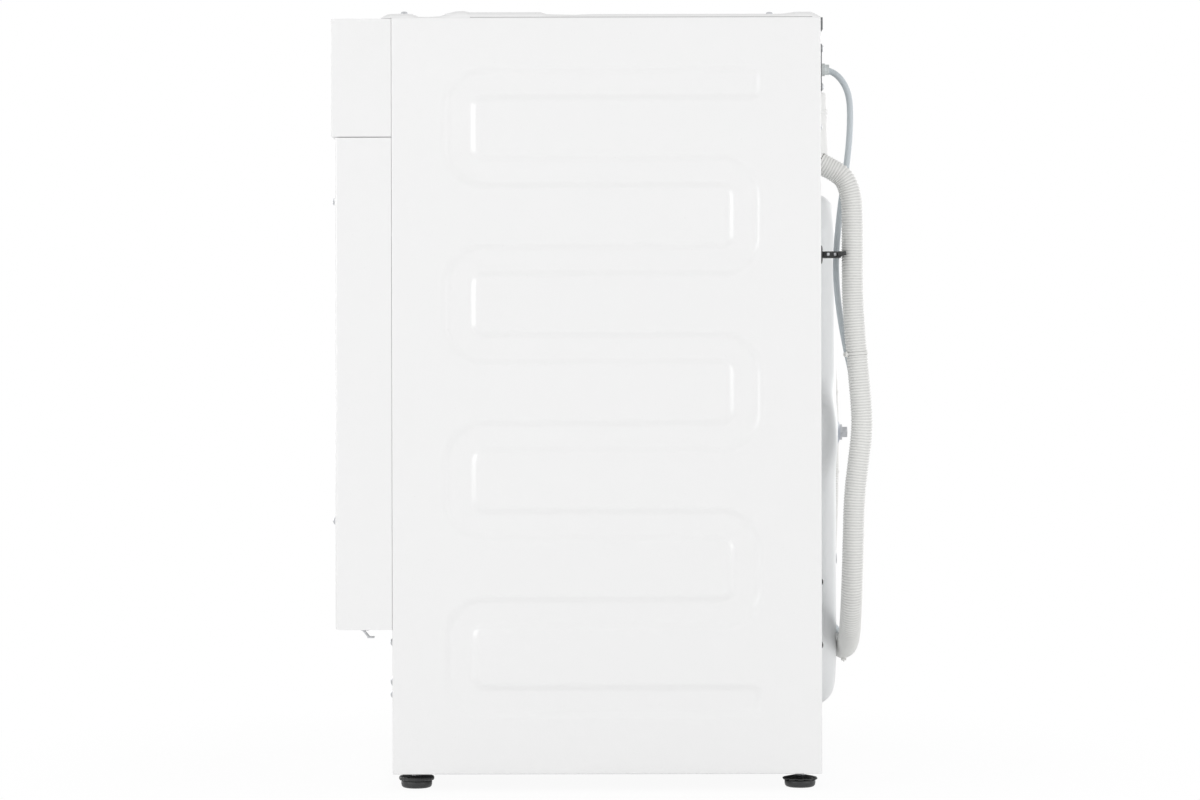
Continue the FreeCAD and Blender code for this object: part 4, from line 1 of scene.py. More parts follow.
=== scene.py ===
# %% [markdown]
# # A built-in washing machine, seen from the side
# This lesson dresses the CAD model of a built-in washing machine for its portrait. The CAD model gives
# every rigid piece its true size and place. Blender adds what a solid modeller does poorly: the ribbed
# hose and the cable, the softly pressed sheet metal, and the finishes. The frame is loaded first. Nothing
# that is made here may change the size of the machine.

# %% The frame
import bpy
import math
import numpy as np
from mathutils import Euler, Matrix, Vector


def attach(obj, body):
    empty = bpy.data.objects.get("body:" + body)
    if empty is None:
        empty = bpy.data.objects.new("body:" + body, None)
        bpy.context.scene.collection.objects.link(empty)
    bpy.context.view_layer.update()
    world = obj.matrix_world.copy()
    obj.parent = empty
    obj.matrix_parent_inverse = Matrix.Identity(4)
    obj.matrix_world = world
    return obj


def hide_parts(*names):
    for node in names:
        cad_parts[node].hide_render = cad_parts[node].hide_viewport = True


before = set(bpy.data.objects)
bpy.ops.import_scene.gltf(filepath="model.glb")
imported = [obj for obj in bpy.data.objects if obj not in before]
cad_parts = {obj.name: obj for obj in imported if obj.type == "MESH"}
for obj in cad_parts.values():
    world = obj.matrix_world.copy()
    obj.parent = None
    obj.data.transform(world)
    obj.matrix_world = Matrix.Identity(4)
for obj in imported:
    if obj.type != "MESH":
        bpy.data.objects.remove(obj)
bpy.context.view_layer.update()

# %% [markdown]
# ## Camera
# The photograph is a straight side view. One pixel covers 1.054 mm on the near side panel, because the
# machine is 820 mm tall and 778 pixels high. A long lens, 3.5 m away, keeps the far edges hidden behind the
# near ones, as they are in the photograph. The picture leans by a tenth of a degree, so the camera does too.

# %% Camera at the photograph's view
PIXEL, FRAME_WIDTH = 0.001054, 1200
SIDE = 0.2975
DISTANCE, EYE_Y, EYE_Z = 3.5, 0.0112, 0.412
LEAN = math.radians(-0.12)
SENSOR = 36.0
camera_data = bpy.data.cameras.new("portrait_camera")
camera_data.sensor_width = SENSOR
camera_data.lens = SENSOR * DISTANCE / (FRAME_WIDTH * PIXEL)
camera = bpy.data.objects.new("portrait_camera", camera_data)
camera.location = (SIDE + DISTANCE, EYE_Y, EYE_Z)
level = Euler((math.radians(90), 0, math.radians(90))).to_matrix()
camera.rotation_euler = (level @ Matrix.Rotation(LEAN, 3, "Z")).to_euler()
bpy.context.scene.collection.objects.link(camera)
bpy.context.scene.camera = camera
print("lens", round(camera_data.lens, 2), "mm")

# %% [markdown]
# ## A helper that turns arrays into pieces
# Every new piece is a grid of points worked out with numpy. This helper writes the arrays straight into a
# mesh, which is much faster than adding one vertex at a time. It then measures the signed volume: a negative
# one means that the faces look inwards, and the mesh is turned round.

# %% Grids and pieces
def grid_faces(rows, columns, wrap_rows=False, wrap_columns=False):
    """Corner numbers of the quads between neighbouring lines of a grid of points."""
    i = np.arange(rows if wrap_rows else rows - 1)
    j = np.arange(columns if wrap_columns else columns - 1)
    i, j = np.meshgrid(i, j, indexing="ij")
    i2, j2 = (i + 1) % rows, (j + 1) % columns
    corners = [i * columns + j, i * columns + j2, i2 * columns + j2, i2 * columns + j]
    return np.stack(corners, -1).reshape(-1, 4)


def add_piece(name, points, faces, caps=(), *, slot, body="cabinet", stands_for=(), sharp=40):
    """Mesh object at the origin. Faces are rows of four point numbers, and caps are longer rings of them.

    The signed volume is the sum of a . (b x c) / 6 over all triangles a, b, c."""
    points = np.asarray(points, dtype=np.float32).reshape(-1, 3)
    rings = [np.asarray(cap) for cap in caps]
    corners = np.concatenate([np.asarray(faces).ravel()] + rings).astype(np.int32)
    counts = np.concatenate([np.full(len(faces), 4), [len(ring) for ring in rings]])
    starts = np.concatenate([[0], np.cumsum(counts)[:-1]]).astype(np.int32)
    mesh = bpy.data.meshes.new(name)
    mesh.vertices.add(len(points))
    mesh.vertices.foreach_set("co", points.ravel())
    mesh.loops.add(len(corners))
    mesh.loops.foreach_set("vertex_index", corners)
    mesh.polygons.add(len(starts))
    mesh.polygons.foreach_set("loop_start", starts)
    mesh.update(calc_edges=True)
    mesh.calc_loop_triangles()
    triangles = np.empty(len(mesh.loop_triangles) * 3, dtype=np.int32)
    mesh.loop_triangles.foreach_get("vertices", triangles)
    a, b, c = points[triangles.reshape(-1, 3)].transpose(1, 0, 2).astype(float)
    volume = np.einsum("ij,ij->i", a, np.cross(b, c)).sum() / 6
    if volume < 0:
        mesh.flip_normals()
    mesh.polygons.foreach_set("use_smooth", np.ones(len(starts), dtype=bool))
    mesh.set_sharp_from_angle(angle=math.radians(sharp))
    piece = bpy.data.objects.new(name, mesh)
    bpy.context.scene.collection.objects.link(piece)
    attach(piece, body)
    if stands_for:
        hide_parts(*stands_for)
    print(name, len(triangles) // 3, "triangles,", round(abs(volume) * 1e6, 1), "ml")
    return piece


# %% [markdown]
# Many pieces are several closed shapes in one mesh, such as a tie with its strap, head and tail. The next
# helper puts their rings of points together, closes the ends, and turns each shape so that its faces look
# outwards. Joining finished objects would do the same, but needs an operator and a selection.

# %% Several closed shapes in one mesh
def shells(*grids):
    """Points, faces and caps of several closed shapes, each given as (grid of rings, rings form a loop).

    A grid that is no loop is closed by a cap on its first and last ring. A shape whose signed volume is
    negative has its rings reversed, so that all faces look outwards."""
    points, faces, caps, first = [], [], [], 0
    for grid, loop in grids:
        rows, sides = grid.shape[:2]
        quads = grid_faces(rows, sides, loop, True)
        ends = [] if loop else [np.arange(sides)[::-1], (rows - 1) * sides + np.arange(sides)]
        flat = grid.reshape(-1, 3)
        middle = flat.mean(0)
        fans = [np.column_stack([np.full(sides - 2, end[0]), end[1:-1], end[2:]]) for end in ends]
        triangles = np.concatenate([quads[:, [0, 1, 2]], quads[:, [0, 2, 3]]] + fans)
        a, b, c = (flat - middle)[triangles].transpose(1, 0, 2)
        if np.einsum("ij,ij->i", a, np.cross(b, c)).sum() < 0:
            quads, ends = quads[:, ::-1], [end[::-1] for end in ends]
        points.append(flat)
        faces.append(first + quads)
        caps += [first + end for end in ends]
        first += rows * sides
    return np.concatenate(points), np.concatenate(faces), caps


# %% [markdown]
# ## Drain hose
# The hose is a grey-white corrugated tube. It leaves a spigot at the top of the back, hangs past a clip,
# crosses the back in a low bend and climbs to a second clip, where a smooth rubber cuff ends it. Its line is
# a NURBS spline over the points of the route, so it has no corners. The corrugations are rings whose radius
# swings between root and crest, one swing every 3 mm. Each point also keeps how far down in a groove it lies,
# so that the finish can paint shade into the grooves.

# %% The line of a cord
def spline_points(route, steps=24):
    """Points on the smooth NURBS line that has the points of the route as its control points."""
    data = bpy.data.curves.new("route", "CURVE")
    data.dimensions = "3D"
    data.resolution_u = steps
    line = data.splines.new("NURBS")
    line.points.add(len(route) - 1)
    line.points.foreach_set("co", np.column_stack([route, np.ones(len(route))]).ravel())
    line.order_u = 3
    line.use_endpoint_u = True
    holder = bpy.data.objects.new("route", data)
    bpy.context.scene.collection.objects.link(holder)
    mesh = bpy.data.meshes.new_from_object(holder)
    points = np.empty(len(mesh.vertices) * 3)
    mesh.vertices.foreach_get("co", points)
    bpy.data.objects.remove(holder)
    bpy.data.meshes.remove(mesh)
    return points.reshape(-1, 3)


def even_steps(line, count):
    """The line with its points at equal distances: lengths added up, then read back at even shares."""
    run = np.concatenate([[0], np.cumsum(np.linalg.norm(np.diff(line, axis=0), axis=1))])
    at = np.linspace(0, run[-1], count)
    return np.column_stack([np.interp(at, run, line[:, k]) for k in range(3)]), run[-1]


def unit(vectors):
    """The vectors with length one: each divided by its own length."""
    return vectors / np.linalg.norm(vectors, axis=-1, keepdims=True)


def tube_rings(line, radius, sides):
    """Rings round a line: centre + radius * (across * cos a + up * sin a), both square to the line.

    The direction (1, 1, 1) is never along the hose or the cable, so what is left of it beside the line's own
    direction gives across, and the cross product gives up."""
    along = unit(np.gradient(line, axis=0))
    lean = unit(np.ones(3))
    across = unit(lean - (along @ lean)[:, None] * along)
    up = np.cross(along, across)
    a = np.linspace(0, 2 * math.pi, sides, endpoint=False)
    ring = across[:, None] * np.cos(a)[:, None] + up[:, None] * np.sin(a)[:, None]
    return line[:, None] + np.broadcast_to(radius, len(line))[:, None, None] * ring


# %% Drain hose
HOSE_RADIUS, HOSE_ROOT, HOSE_PITCH = 0.0117, 0.0107, 0.0030
HOSE_SIDES, HOSE_STEPS = 24, 401
RIB_SWING = [0.0, 0.62, 1.0, 0.62]
HOSE_ROUTE = np.array([
    (0.2520, 0.2454, 0.6651), (0.2520, 0.2600, 0.6572), (0.2520, 0.2702, 0.6510), (0.2520, 0.2772, 0.6390),
    (0.2520, 0.2804, 0.6230), (0.2520, 0.2810, 0.6030), (0.2520, 0.2810, 0.5680), (0.2520, 0.2810, 0.5150),
    (0.2520, 0.2850, 0.4655), (0.2520, 0.2898, 0.4121), (0.2520, 0.2914, 0.3820), (0.2520, 0.2868, 0.3440),
    (0.2520, 0.2824, 0.3080), (0.2505, 0.2811, 0.2480), (0.2360, 0.2804, 0.1890), (0.1990, 0.2810, 0.1540),
    (0.1400, 0.2812, 0.1390), (0.0650, 0.2812, 0.1340), (-0.0650, 0.2810, 0.1340), (-0.1400, 0.2815, 0.1390),
    (-0.1990, 0.2818, 0.1540), (-0.2360, 0.2838, 0.1890), (-0.2500, 0.2885, 0.2410), (-0.2520, 0.2910, 0.3190),
    (-0.2526, 0.2908, 0.4260), (-0.2520, 0.2840, 0.4880), (-0.2520, 0.2828, 0.5335), (-0.2520, 0.2828, 0.5725)])
hose_line, hose_length = even_steps(spline_points(HOSE_ROUTE), HOSE_STEPS)
ribs = round(hose_length / HOSE_PITCH)
rib_line, _ = even_steps(hose_line, len(RIB_SWING) * ribs + 1)
swing = np.append(np.tile(RIB_SWING, ribs), 0.0)
rib_rings = tube_rings(rib_line, HOSE_ROOT + (HOSE_RADIUS - HOSE_ROOT) * swing, HOSE_SIDES)
drain_hose = add_piece("ribbed_drain_hose", *shells((rib_rings, False)),
                       stands_for=["drain_hose"], slot="hose_plastic", sharp=80)
# how deep each point lies in a groove; the hose's finish paints shade by it
groove = drain_hose.data.attributes.new("groove", "FLOAT", "POINT")
groove.data.foreach_set("value", np.repeat(1.0 - swing, HOSE_SIDES))
print("hose", round(hose_length, 4), "m,", ribs, "ribs")

# %% [markdown]
# ## Hose cuff
# The free end of the hose carries a smooth rubber cuff with a bead, which is pushed over a drain pipe. It is a
# turned shape: an outline of radius and height, carried round the end of the hose.

# %% Hose cuff
def turned(outline, sides, place):
    """Points of a turned shape: each (radius, height) of the outline, carried round a full circle by place."""
    a = np.linspace(0, 2 * math.pi, sides, endpoint=False)
    r, h = outline[:, 0, None], outline[:, 1, None]
    return place(r * np.cos(a), r * np.sin(a), np.broadcast_to(h, (len(outline), sides)))


def upright(u, v, h):
    """Place of a turned shape whose axis stands upright at the origin."""
    return np.stack([u, v, h], -1)


CUFF = np.array([(8.0, 0.2), (11.6, 0.2), (12.2, 1.2), (12.4, 3.0), (12.4, 38.0), (12.5, 42.0), (12.5, 51.0),
                 (12.2, 53.5), (11.2, 54.8), (9.0, 55.0), (8.0, 54.0)]) / 1000
CUFF_SIDES = 40
cuff_rings = turned(CUFF, CUFF_SIDES, upright) + hose_line[-1]
hose_cuff = add_piece("hose_end_cuff", *shells((cuff_rings, True)), slot="hose_plastic")

# %% [markdown]
# ## Mains cable
# The cable is a round grey sheath, 6.8 mm thick. It loops out of its gland, dips behind the hose and then runs
# along the hose, tied to it, until it ends in its plug. A bevelled curve would do, but the hose's helpers give
# the same line and even rings. The least distance between both lines shows that they don't cut each other.

# %% Mains cable
CABLE_RADIUS, CABLE_SIDES, CABLE_STEPS = 0.0034, 18, 481
CABLE_ROUTE = np.array([
    (0.2320, 0.2477, 0.7660), (0.2320, 0.2585, 0.7660), (0.2315, 0.2712, 0.7565), (0.2305, 0.2798, 0.7390),
    (0.2290, 0.2810, 0.7120), (0.2275, 0.2786, 0.6750), (0.2265, 0.2700, 0.6185), (0.2265, 0.2648, 0.5651),
    (0.2280, 0.2664, 0.5225), (0.2315, 0.2730, 0.4780), (0.2350, 0.2845, 0.4251), (0.2362, 0.2900, 0.3644),
    (0.2362, 0.2862, 0.2980), (0.2345, 0.2825, 0.2566), (0.2215, 0.2808, 0.1972), (0.1915, 0.2800, 0.1690),
    (0.1376, 0.2800, 0.1555), (0.0646, 0.2805, 0.1505), (-0.0646, 0.2810, 0.1505), (-0.1376, 0.2815, 0.1555),
    (-0.1915, 0.2818, 0.1690), (-0.2215, 0.2818, 0.1972), (-0.2346, 0.2823, 0.2572), (-0.2362, 0.2828, 0.3190),
    (-0.2367, 0.2828, 0.3872), (-0.2358, 0.2823, 0.4425), (-0.2325, 0.2787, 0.4848), (-0.2280, 0.2722, 0.5140),
    (-0.2243, 0.2666, 0.5400), (-0.2240, 0.2657, 0.5579)])
cable_line, cable_length = even_steps(spline_points(CABLE_ROUTE), CABLE_STEPS)
sheath_rings = tube_rings(cable_line, CABLE_RADIUS, CABLE_SIDES)
mains_cable = add_piece("mains_cable_sheath", *shells((sheath_rings, False)),
                        stands_for=["mains_cable"], slot="cable_sheath")
clear = np.linalg.norm(hose_line[:, None] - cable_line, axis=2).min() - HOSE_RADIUS - CABLE_RADIUS
print("cable", round(cable_length, 4), "m, clear of the hose by", round(clear * 1000, 2), "mm")

# %% [markdown]
# ## Cable ties
# Five white ties hold the cable to the hose. A tie is a strap drawn tight round two circles. For each
# direction, the strap lies where one of the two circles reaches furthest, which is the support point of the
# pair. A small head and a cut-off tail finish it. They face the machine on the upright legs of the hose, and
# the floor in its low bend.

# %% Cable ties
def block(centre, axes, halves, power=5.0, rows=10, sides=20):
    """Rounded block: a superellipsoid, |a|^p + |b|^p + |c|^p = 1, stretched along three axes."""
    v, u = np.meshgrid(np.linspace(-1.5, 1.5, rows), np.linspace(0, 2 * math.pi, sides, endpoint=False),
                       indexing="ij")
    d = np.stack([np.cos(v) * np.cos(u), np.cos(v) * np.sin(u), np.sin(v)], -1)
    d = d / (np.abs(d) ** power).sum(-1, keepdims=True) ** (1 / power)
    return centre + (d * np.asarray(halves)) @ np.asarray(axes)


TIE_SECTION = np.array([(0.0001, -1.4), (0.5, -1.4), (0.6, -1.1), (0.6, 1.1), (0.5, 1.4), (0.0001, 1.4)]) / 1000
TIE_STEPS = 64
HEAD_RISE, HEAD_HALVES = 0.0014, (0.0030, 0.0018, 0.0026)
TAIL_RISE, TAIL_HALVES = 0.0030, (0.0007, 0.0016, 0.0014)


def tie_points(spot, turn):
    """Strap, head and tail of the tie at one point of the hose, with the nearest point of the cable.

    Turn is the angle round the hose from the cable to the head, whose direction is out * cos turn +
    side * sin turn."""
    hose_at = np.argmin(np.linalg.norm(hose_line - spot, axis=1))
    h = hose_line[hose_at]
    along = unit(hose_line[hose_at + 1] - hose_line[hose_at - 1])
    c = cable_line[np.argmin(np.linalg.norm(cable_line - h, axis=1))]
    c = c - along * ((c - h) @ along)
    out = unit(c - h)
    side = np.cross(along, out)
    a = np.linspace(0, 2 * math.pi, TIE_STEPS, endpoint=False)
    ways = out * np.cos(a)[:, None] + side * np.sin(a)[:, None]
    reach_h, reach_c = ways @ h + HOSE_RADIUS, ways @ c + CABLE_RADIUS
    touch = np.where((reach_h > reach_c)[:, None], h + HOSE_RADIUS * ways, c + CABLE_RADIUS * ways)
    strap = touch[:, None] + ways[:, None] * TIE_SECTION[:, 0, None] + along * TIE_SECTION[:, 1, None]
    way = out * math.cos(turn) + side * math.sin(turn)
    axes = [np.cross(way, along), way, along]
    head = block(h + way * (HOSE_RADIUS + HEAD_RISE), axes, HEAD_HALVES)
    tail = block(h + way * (HOSE_RADIUS + TAIL_RISE), axes, TAIL_HALVES)
    return strap, head, tail


TIES = [((0.2520, 0.2870, 0.461), -90), ((0.100, 0.2818, 0.137), 180), ((-0.100, 0.2818, 0.137), 180),
        ((-0.2520, 0.2828, 0.325), -90), ((-0.2525, 0.2833, 0.420), -90)]
ties = []
for number, (spot, degrees) in enumerate(TIES, 1):
    strap, head, tail = tie_points(np.array(spot), math.radians(degrees))
    ties.append(add_piece(f"cable_tie_{number}", *shells((strap, True), (head, False), (tail, False)),
                          stands_for=["cable_ties"], slot="hose_plastic"))

# %% [markdown]
# A cord is a fixed length of something flexible. The cuff and the ties sit on the hose, and the plug ends the
# cable.

# %% [markdown]
# ## Finishes
# Each finish is a Principled shader with a little life in it: a broad noise shifts the colour by a percent or
# two, a fine noise raises the surface as paint or moulding grain does, and the roughness wanders with it. All
# patterns read Object coordinates in metres, so a scale of 500 means marks about two millimetres wide.

# %% A helper for finishes
CLOUD_DETAIL, GRAIN_DETAIL = 3.0, 2.0
CLOUD_BAND = (0.3, 0.7)
COAT_ROUGHNESS = 0.08


def link(tree, out, socket):
    """Joins the output of one node to the input of another."""
    tree.links.new(out, socket)


def noise(tree, place, scale, detail):
    """Output of a noise texture on the given coordinates."""
    node = tree.nodes.new("ShaderNodeTexNoise")
    node.inputs["Scale"].default_value = scale
    node.inputs["Detail"].default_value = detail
    link(tree, place, node.inputs["Vector"])
    return node.outputs["Fac"]


def finish(name, colour, shade, rough, cloud, grain, height, metallic=0.0, coat=0.0):
    """Principled material: colour clouds between colour and shade * colour, grain as bump and roughness."""
    material = bpy.data.materials.new(name)
    material.use_nodes = True
    tree = material.node_tree
    shader = tree.nodes["Principled BSDF"]
    shader.inputs["Metallic"].default_value = metallic
    shader.inputs["Coat Weight"].default_value = coat
    shader.inputs["Coat Roughness"].default_value = COAT_ROUGHNESS
    place = tree.nodes.new("ShaderNodeTexCoord").outputs["Object"]
    tint = tree.nodes.new("ShaderNodeValToRGB")
    for element, position, share in zip(tint.color_ramp.elements, CLOUD_BAND, (shade, 1.0)):
        element.position = position
        element.color = (*[share * c for c in colour], 1)
    link(tree, noise(tree, place, cloud, CLOUD_DETAIL), tint.inputs["Fac"])
    link(tree, tint.outputs["Color"], shader.inputs["Base Color"])
    fine = noise(tree, place, grain, GRAIN_DETAIL)
    spread = tree.nodes.new("ShaderNodeMapRange")
    spread.inputs["To Min"].default_value = rough[0]
    spread.inputs["To Max"].default_value = rough[1]
    link(tree, fine, spread.inputs["Value"])
    link(tree, spread.outputs["Result"], shader.inputs["Roughness"])
    bump = tree.nodes.new("ShaderNodeBump")
    bump.inputs["Strength"].default_value = 1.0
    bump.inputs["Distance"].default_value = height
    link(tree, fine, bump.inputs["Height"])
    link(tree, bump.outputs["Normal"], shader.inputs["Normal"])
    return material


# %% [markdown]
# The machine has some twenty plain finishes, from enamel to concrete. Each row of the table gives a colour, how
# dark its clouds get, the range of its roughness, the scales of clouds and grain, the height of the grain in
# metres, and then how metallic and how lacquered it is, where it is either.

# %% The finishes of the machine
RECIPES = {
    "white_enamel": ((0.85, 0.85, 0.85), 0.99, (0.26, 0.31), 3.0, 420.0, 0.000003, 0.0, 0.3),
    "white_plastic": ((0.85, 0.85, 0.85), 0.985, (0.34, 0.44), 5.0, 1500.0, 0.000005),
    "white_moulding": ((0.86, 0.86, 0.85), 0.97, (0.4, 0.5), 20.0, 1200.0, 0.00001),
    "coated_sheet": ((0.79, 0.80, 0.805), 0.97, (0.34, 0.46), 8.0, 700.0, 0.00001),
    "zinc_steel": ((0.62, 0.63, 0.65), 0.75, (0.28, 0.5), 160.0, 900.0, 0.00001, 1.0),
    "dark_steel": ((0.20, 0.205, 0.21), 0.8, (0.36, 0.5), 90.0, 900.0, 0.00001, 1.0),
    "grey_plastic": ((0.30, 0.31, 0.32), 0.94, (0.4, 0.52), 15.0, 1500.0, 0.00001),
    "black_plastic": ((0.032, 0.033, 0.034), 0.7, (0.36, 0.56), 40.0, 1600.0, 0.00002),
    "bush_plastic": ((0.38, 0.41, 0.46), 0.93, (0.38, 0.5), 60.0, 1500.0, 0.00001),
    "gland_plastic": ((0.72, 0.76, 0.76), 0.95, (0.36, 0.46), 60.0, 1500.0, 0.00001),
    "valve_plastic": ((0.55, 0.57, 0.56), 0.94, (0.4, 0.52), 40.0, 1500.0, 0.00001),
    "hose_plastic": ((0.75, 0.75, 0.73), 0.96, (0.42, 0.55), 12.0, 1200.0, 0.00001),
    "cable_sheath": ((0.56, 0.61, 0.64), 0.95, (0.38, 0.5), 18.0, 1500.0, 0.00001),
    "plug_plastic": ((0.50, 0.53, 0.55), 0.95, (0.4, 0.52), 30.0, 1200.0, 0.00002),
    "black_rubber": ((0.028, 0.028, 0.029), 0.75, (0.6, 0.75), 40.0, 1100.0, 0.00002),
    "gasket_rubber": ((0.30, 0.31, 0.32), 0.93, (0.55, 0.68), 25.0, 900.0, 0.00002),
    "tub_plastic": ((0.45, 0.46, 0.46), 0.9, (0.5, 0.62), 15.0, 700.0, 0.00003),
    "concrete": ((0.36, 0.35, 0.33), 0.6, (0.8, 0.95), 120.0, 260.0, 0.0002),
    "motor_case": ((0.10, 0.105, 0.11), 0.8, (0.45, 0.6), 40.0, 900.0, 0.00002, 0.4),
    "bearing_steel": ((0.55, 0.56, 0.58), 0.9, (0.2, 0.32), 50.0, 900.0, 0.00001, 1.0),
    "cast_aluminium": ((0.55, 0.55, 0.56), 0.82, (0.42, 0.6), 60.0, 500.0, 0.00008, 1.0),
    "circuit_board": ((0.03, 0.16, 0.06), 0.6, (0.35, 0.5), 260.0, 900.0, 0.00002),
    "display": ((0.012, 0.013, 0.015), 0.8, (0.05, 0.1), 30.0, 300.0, 0.000002, 0.0, 0.5),
}
FINISHES = {name: finish(name, *recipe) for name, recipe in RECIPES.items()}
print(len(FINISHES), "plain finishes")

# %% [markdown]
# ## Door glass
# The bowl of the door is thick pressed glass. It is made clear with Transmission, and a slow ripple in its
# surface bends what is seen through it, as pressed glass does.

# %% Door glass
GLASS_IOR = 1.5
glass = finish("door_glass", (0.93, 0.95, 0.95), 0.99, (0.02, 0.05), 10.0, 26.0, 0.0004)
glass.node_tree.nodes["Principled BSDF"].inputs["Transmission Weight"].default_value = 1.0
glass.node_tree.nodes["Principled BSDF"].inputs["IOR"].default_value = GLASS_IOR
FINISHES["door_glass"] = glass
print("door glass bends light by", GLASS_IOR)

# %% [markdown]
# ## Marks, holes and painted shade
# Five finishes carry a pattern in the right place: the ticks round the knob, the painted shade of the drum's
# holes, the black screws, the painted shadow under the rim of the top cover and the painted shade in the
# grooves of the hose. Most are worked out from the Object coordinates with Math nodes: the angle and radius
# about an axis, the part left over after rounding to the nearest mark, and comparisons that give one inside a
# mark and zero outside.

# %% Patterns from Math nodes
def maths(tree, operation, *values):
    """Output of a Math node whose inputs are numbers or the outputs of other nodes."""
    node = tree.nodes.new("ShaderNodeMath")
    node.operation = operation
    for socket, value in zip(node.inputs, values):
        if isinstance(value, (int, float)):
            socket.default_value = value
        else:
            link(tree, value, socket)
    return node.outputs[0]


def place_parts(tree):
    """The three Object coordinates as outputs."""
    place = tree.nodes.new("ShaderNodeTexCoord")
    parts = tree.nodes.new("ShaderNodeSeparateXYZ")
    link(tree, place.outputs["Object"], parts.inputs[0])
    return list(parts.outputs)


def far_off(tree, a, b):
    """Root of the sum of two squares."""
    return maths(tree, "SQRT", maths(tree, "ADD", maths(tree, "MULTIPLY", a, a), maths(tree, "MULTIPLY", b, b)))


def about_axis(tree, x0, z0):
    """Radius and angle about a line along Y, and the place along it, as three outputs."""
    x, y, z = place_parts(tree)
    dx, dz = maths(tree, "SUBTRACT", x, x0), maths(tree, "SUBTRACT", z, z0)
    return far_off(tree, dx, dz), maths(tree, "ARCTAN2", dz, dx), y


def from_nearest(tree, value):
    """Distance of a value from the nearest whole number."""
    return maths(tree, "ABSOLUTE", maths(tree, "SUBTRACT", value, maths(tree, "ROUND", value)))


def where_all(tree, *tests):
    """One where every test (value, comparison, limit) holds, and else zero: the product of the comparisons."""
    mask = 1.0
    for value, comparison, limit in tests:
        mask = maths(tree, "MULTIPLY", mask, maths(tree, comparison, value, limit))
    return mask


# used for printed ticks and own colours, and for painted shade and painted shadow
def paint_marks_and_shade(material, mask, colour):
    """Mixes a colour into the base colour of a material where the mask is one, and adds it to the finishes."""
    tree = material.node_tree
    shader = tree.nodes["Principled BSDF"]
    under = shader.inputs["Base Color"].links[0].from_socket
    mix = tree.nodes.new("ShaderNodeMix")
    mix.data_type = "RGBA"
    link(tree, mask, mix.inputs[0])
    link(tree, under, mix.inputs[6])
    mix.inputs[7].default_value = (*colour, 1)
    link(tree, mix.outputs[2], shader.inputs["Base Color"])
    FINISHES[material.name] = material
    print(material.name, "with a pattern")


# %% [markdown]
# Sixteen short printed ticks stand in a ring round the knob, on the front face of the fascia only. Separate
# meshes for them would lie in the face and flicker, so they are part of its finish.

# %% Ticks round the knob
KNOB_X, KNOB_Z, FASCIA_FACE = -0.060, 0.75225, -0.2715
TICKS, TICK_HALF, TICK_START, TICK_END = 16, 0.0005, 0.0312, 0.0350
fascia = finish("fascia_plastic", *RECIPES["white_plastic"])
tree = fascia.node_tree
radius, angle, depth = about_axis(tree, KNOB_X, KNOB_Z)
turns = maths(tree, "MULTIPLY", angle, TICKS / (2 * math.pi))
aside = maths(tree, "MULTIPLY", from_nearest(tree, turns), maths(tree, "MULTIPLY", radius, 2 * math.pi / TICKS))
ticks = where_all(tree, (aside, "LESS_THAN", TICK_HALF), (radius, "GREATER_THAN", TICK_START),
                  (radius, "LESS_THAN", TICK_END), (depth, "LESS_THAN", FASCIA_FACE))
paint_marks_and_shade(fascia, ticks, (0.12, 0.12, 0.13))

# %% [markdown]
# A drum is pierced by rows of small holes, each row shifted by half a step. On the wall a row is counted along
# the depth, and on the back along the radius, where a ring has half as many holes. Thousands of cut holes would
# make a heavy mesh, and a hole looks dark from every side because of the shade behind it, so each hole is a dot
# of painted shade.

# %% Holes in the drum, as dots of painted shade
DRUM_Z, DRUM_WALL, DRUM_HUB = 0.430, 0.232, 0.085
HOLE_ROW, HOLE_RADIUS, HOLES_ROUND = 0.0125, 0.0019, 60.0
drum_steel = finish("drum_steel", (0.62, 0.62, 0.61), 0.92, (0.22, 0.34), 30.0, 300.0, 0.000004, 1.0)
tree = drum_steel.node_tree
radius, angle, depth = about_axis(tree, 0.0, DRUM_Z)
wall = maths(tree, "GREATER_THAN", radius, DRUM_WALL)
back = maths(tree, "SUBTRACT", 1.0, wall)
run = maths(tree, "ADD", maths(tree, "MULTIPLY", wall, depth), maths(tree, "MULTIPLY", back, radius))
row = maths(tree, "DIVIDE", run, HOLE_ROW)
shift = maths(tree, "MULTIPLY", maths(tree, "FLOORED_MODULO", maths(tree, "ROUND", row), 2.0), 0.5)
count = maths(tree, "ADD", HOLES_ROUND, maths(tree, "MULTIPLY", wall, HOLES_ROUND))
column = maths(tree, "ADD", maths(tree, "MULTIPLY", angle, maths(tree, "DIVIDE", count, 2 * math.pi)), shift)
step = maths(tree, "DIVIDE", maths(tree, "MULTIPLY", radius, 2 * math.pi), count)
aside = maths(tree, "MULTIPLY", from_nearest(tree, column), step)
along = maths(tree, "MULTIPLY", from_nearest(tree, row), HOLE_ROW)
hole_shade = where_all(tree, (far_off(tree, aside, along), "LESS_THAN", HOLE_RADIUS),
                  (radius, "GREATER_THAN", DRUM_HUB))
# painted shade: near-black dots stand in for the holes
paint_marks_and_shade(drum_steel, hole_shade, (0.01, 0.01, 0.011))

# %% [markdown]
# All small screws of the cabinet are one piece with one finish, but those low on the back are black. So the
# finish is zinc, and black where a point is both far back and low.

# %% Black screws
BLACK_BEHIND, BLACK_BELOW = 0.2, 0.25
screws = finish("screw_steel", *RECIPES["zinc_steel"])
tree = screws.node_tree
_, y, z = place_parts(tree)
low = where_all(tree, (y, "GREATER_THAN", BLACK_BEHIND), (z, "LESS_THAN", BLACK_BELOW))
paint_marks_and_shade(screws, low, (0.03, 0.03, 0.032))
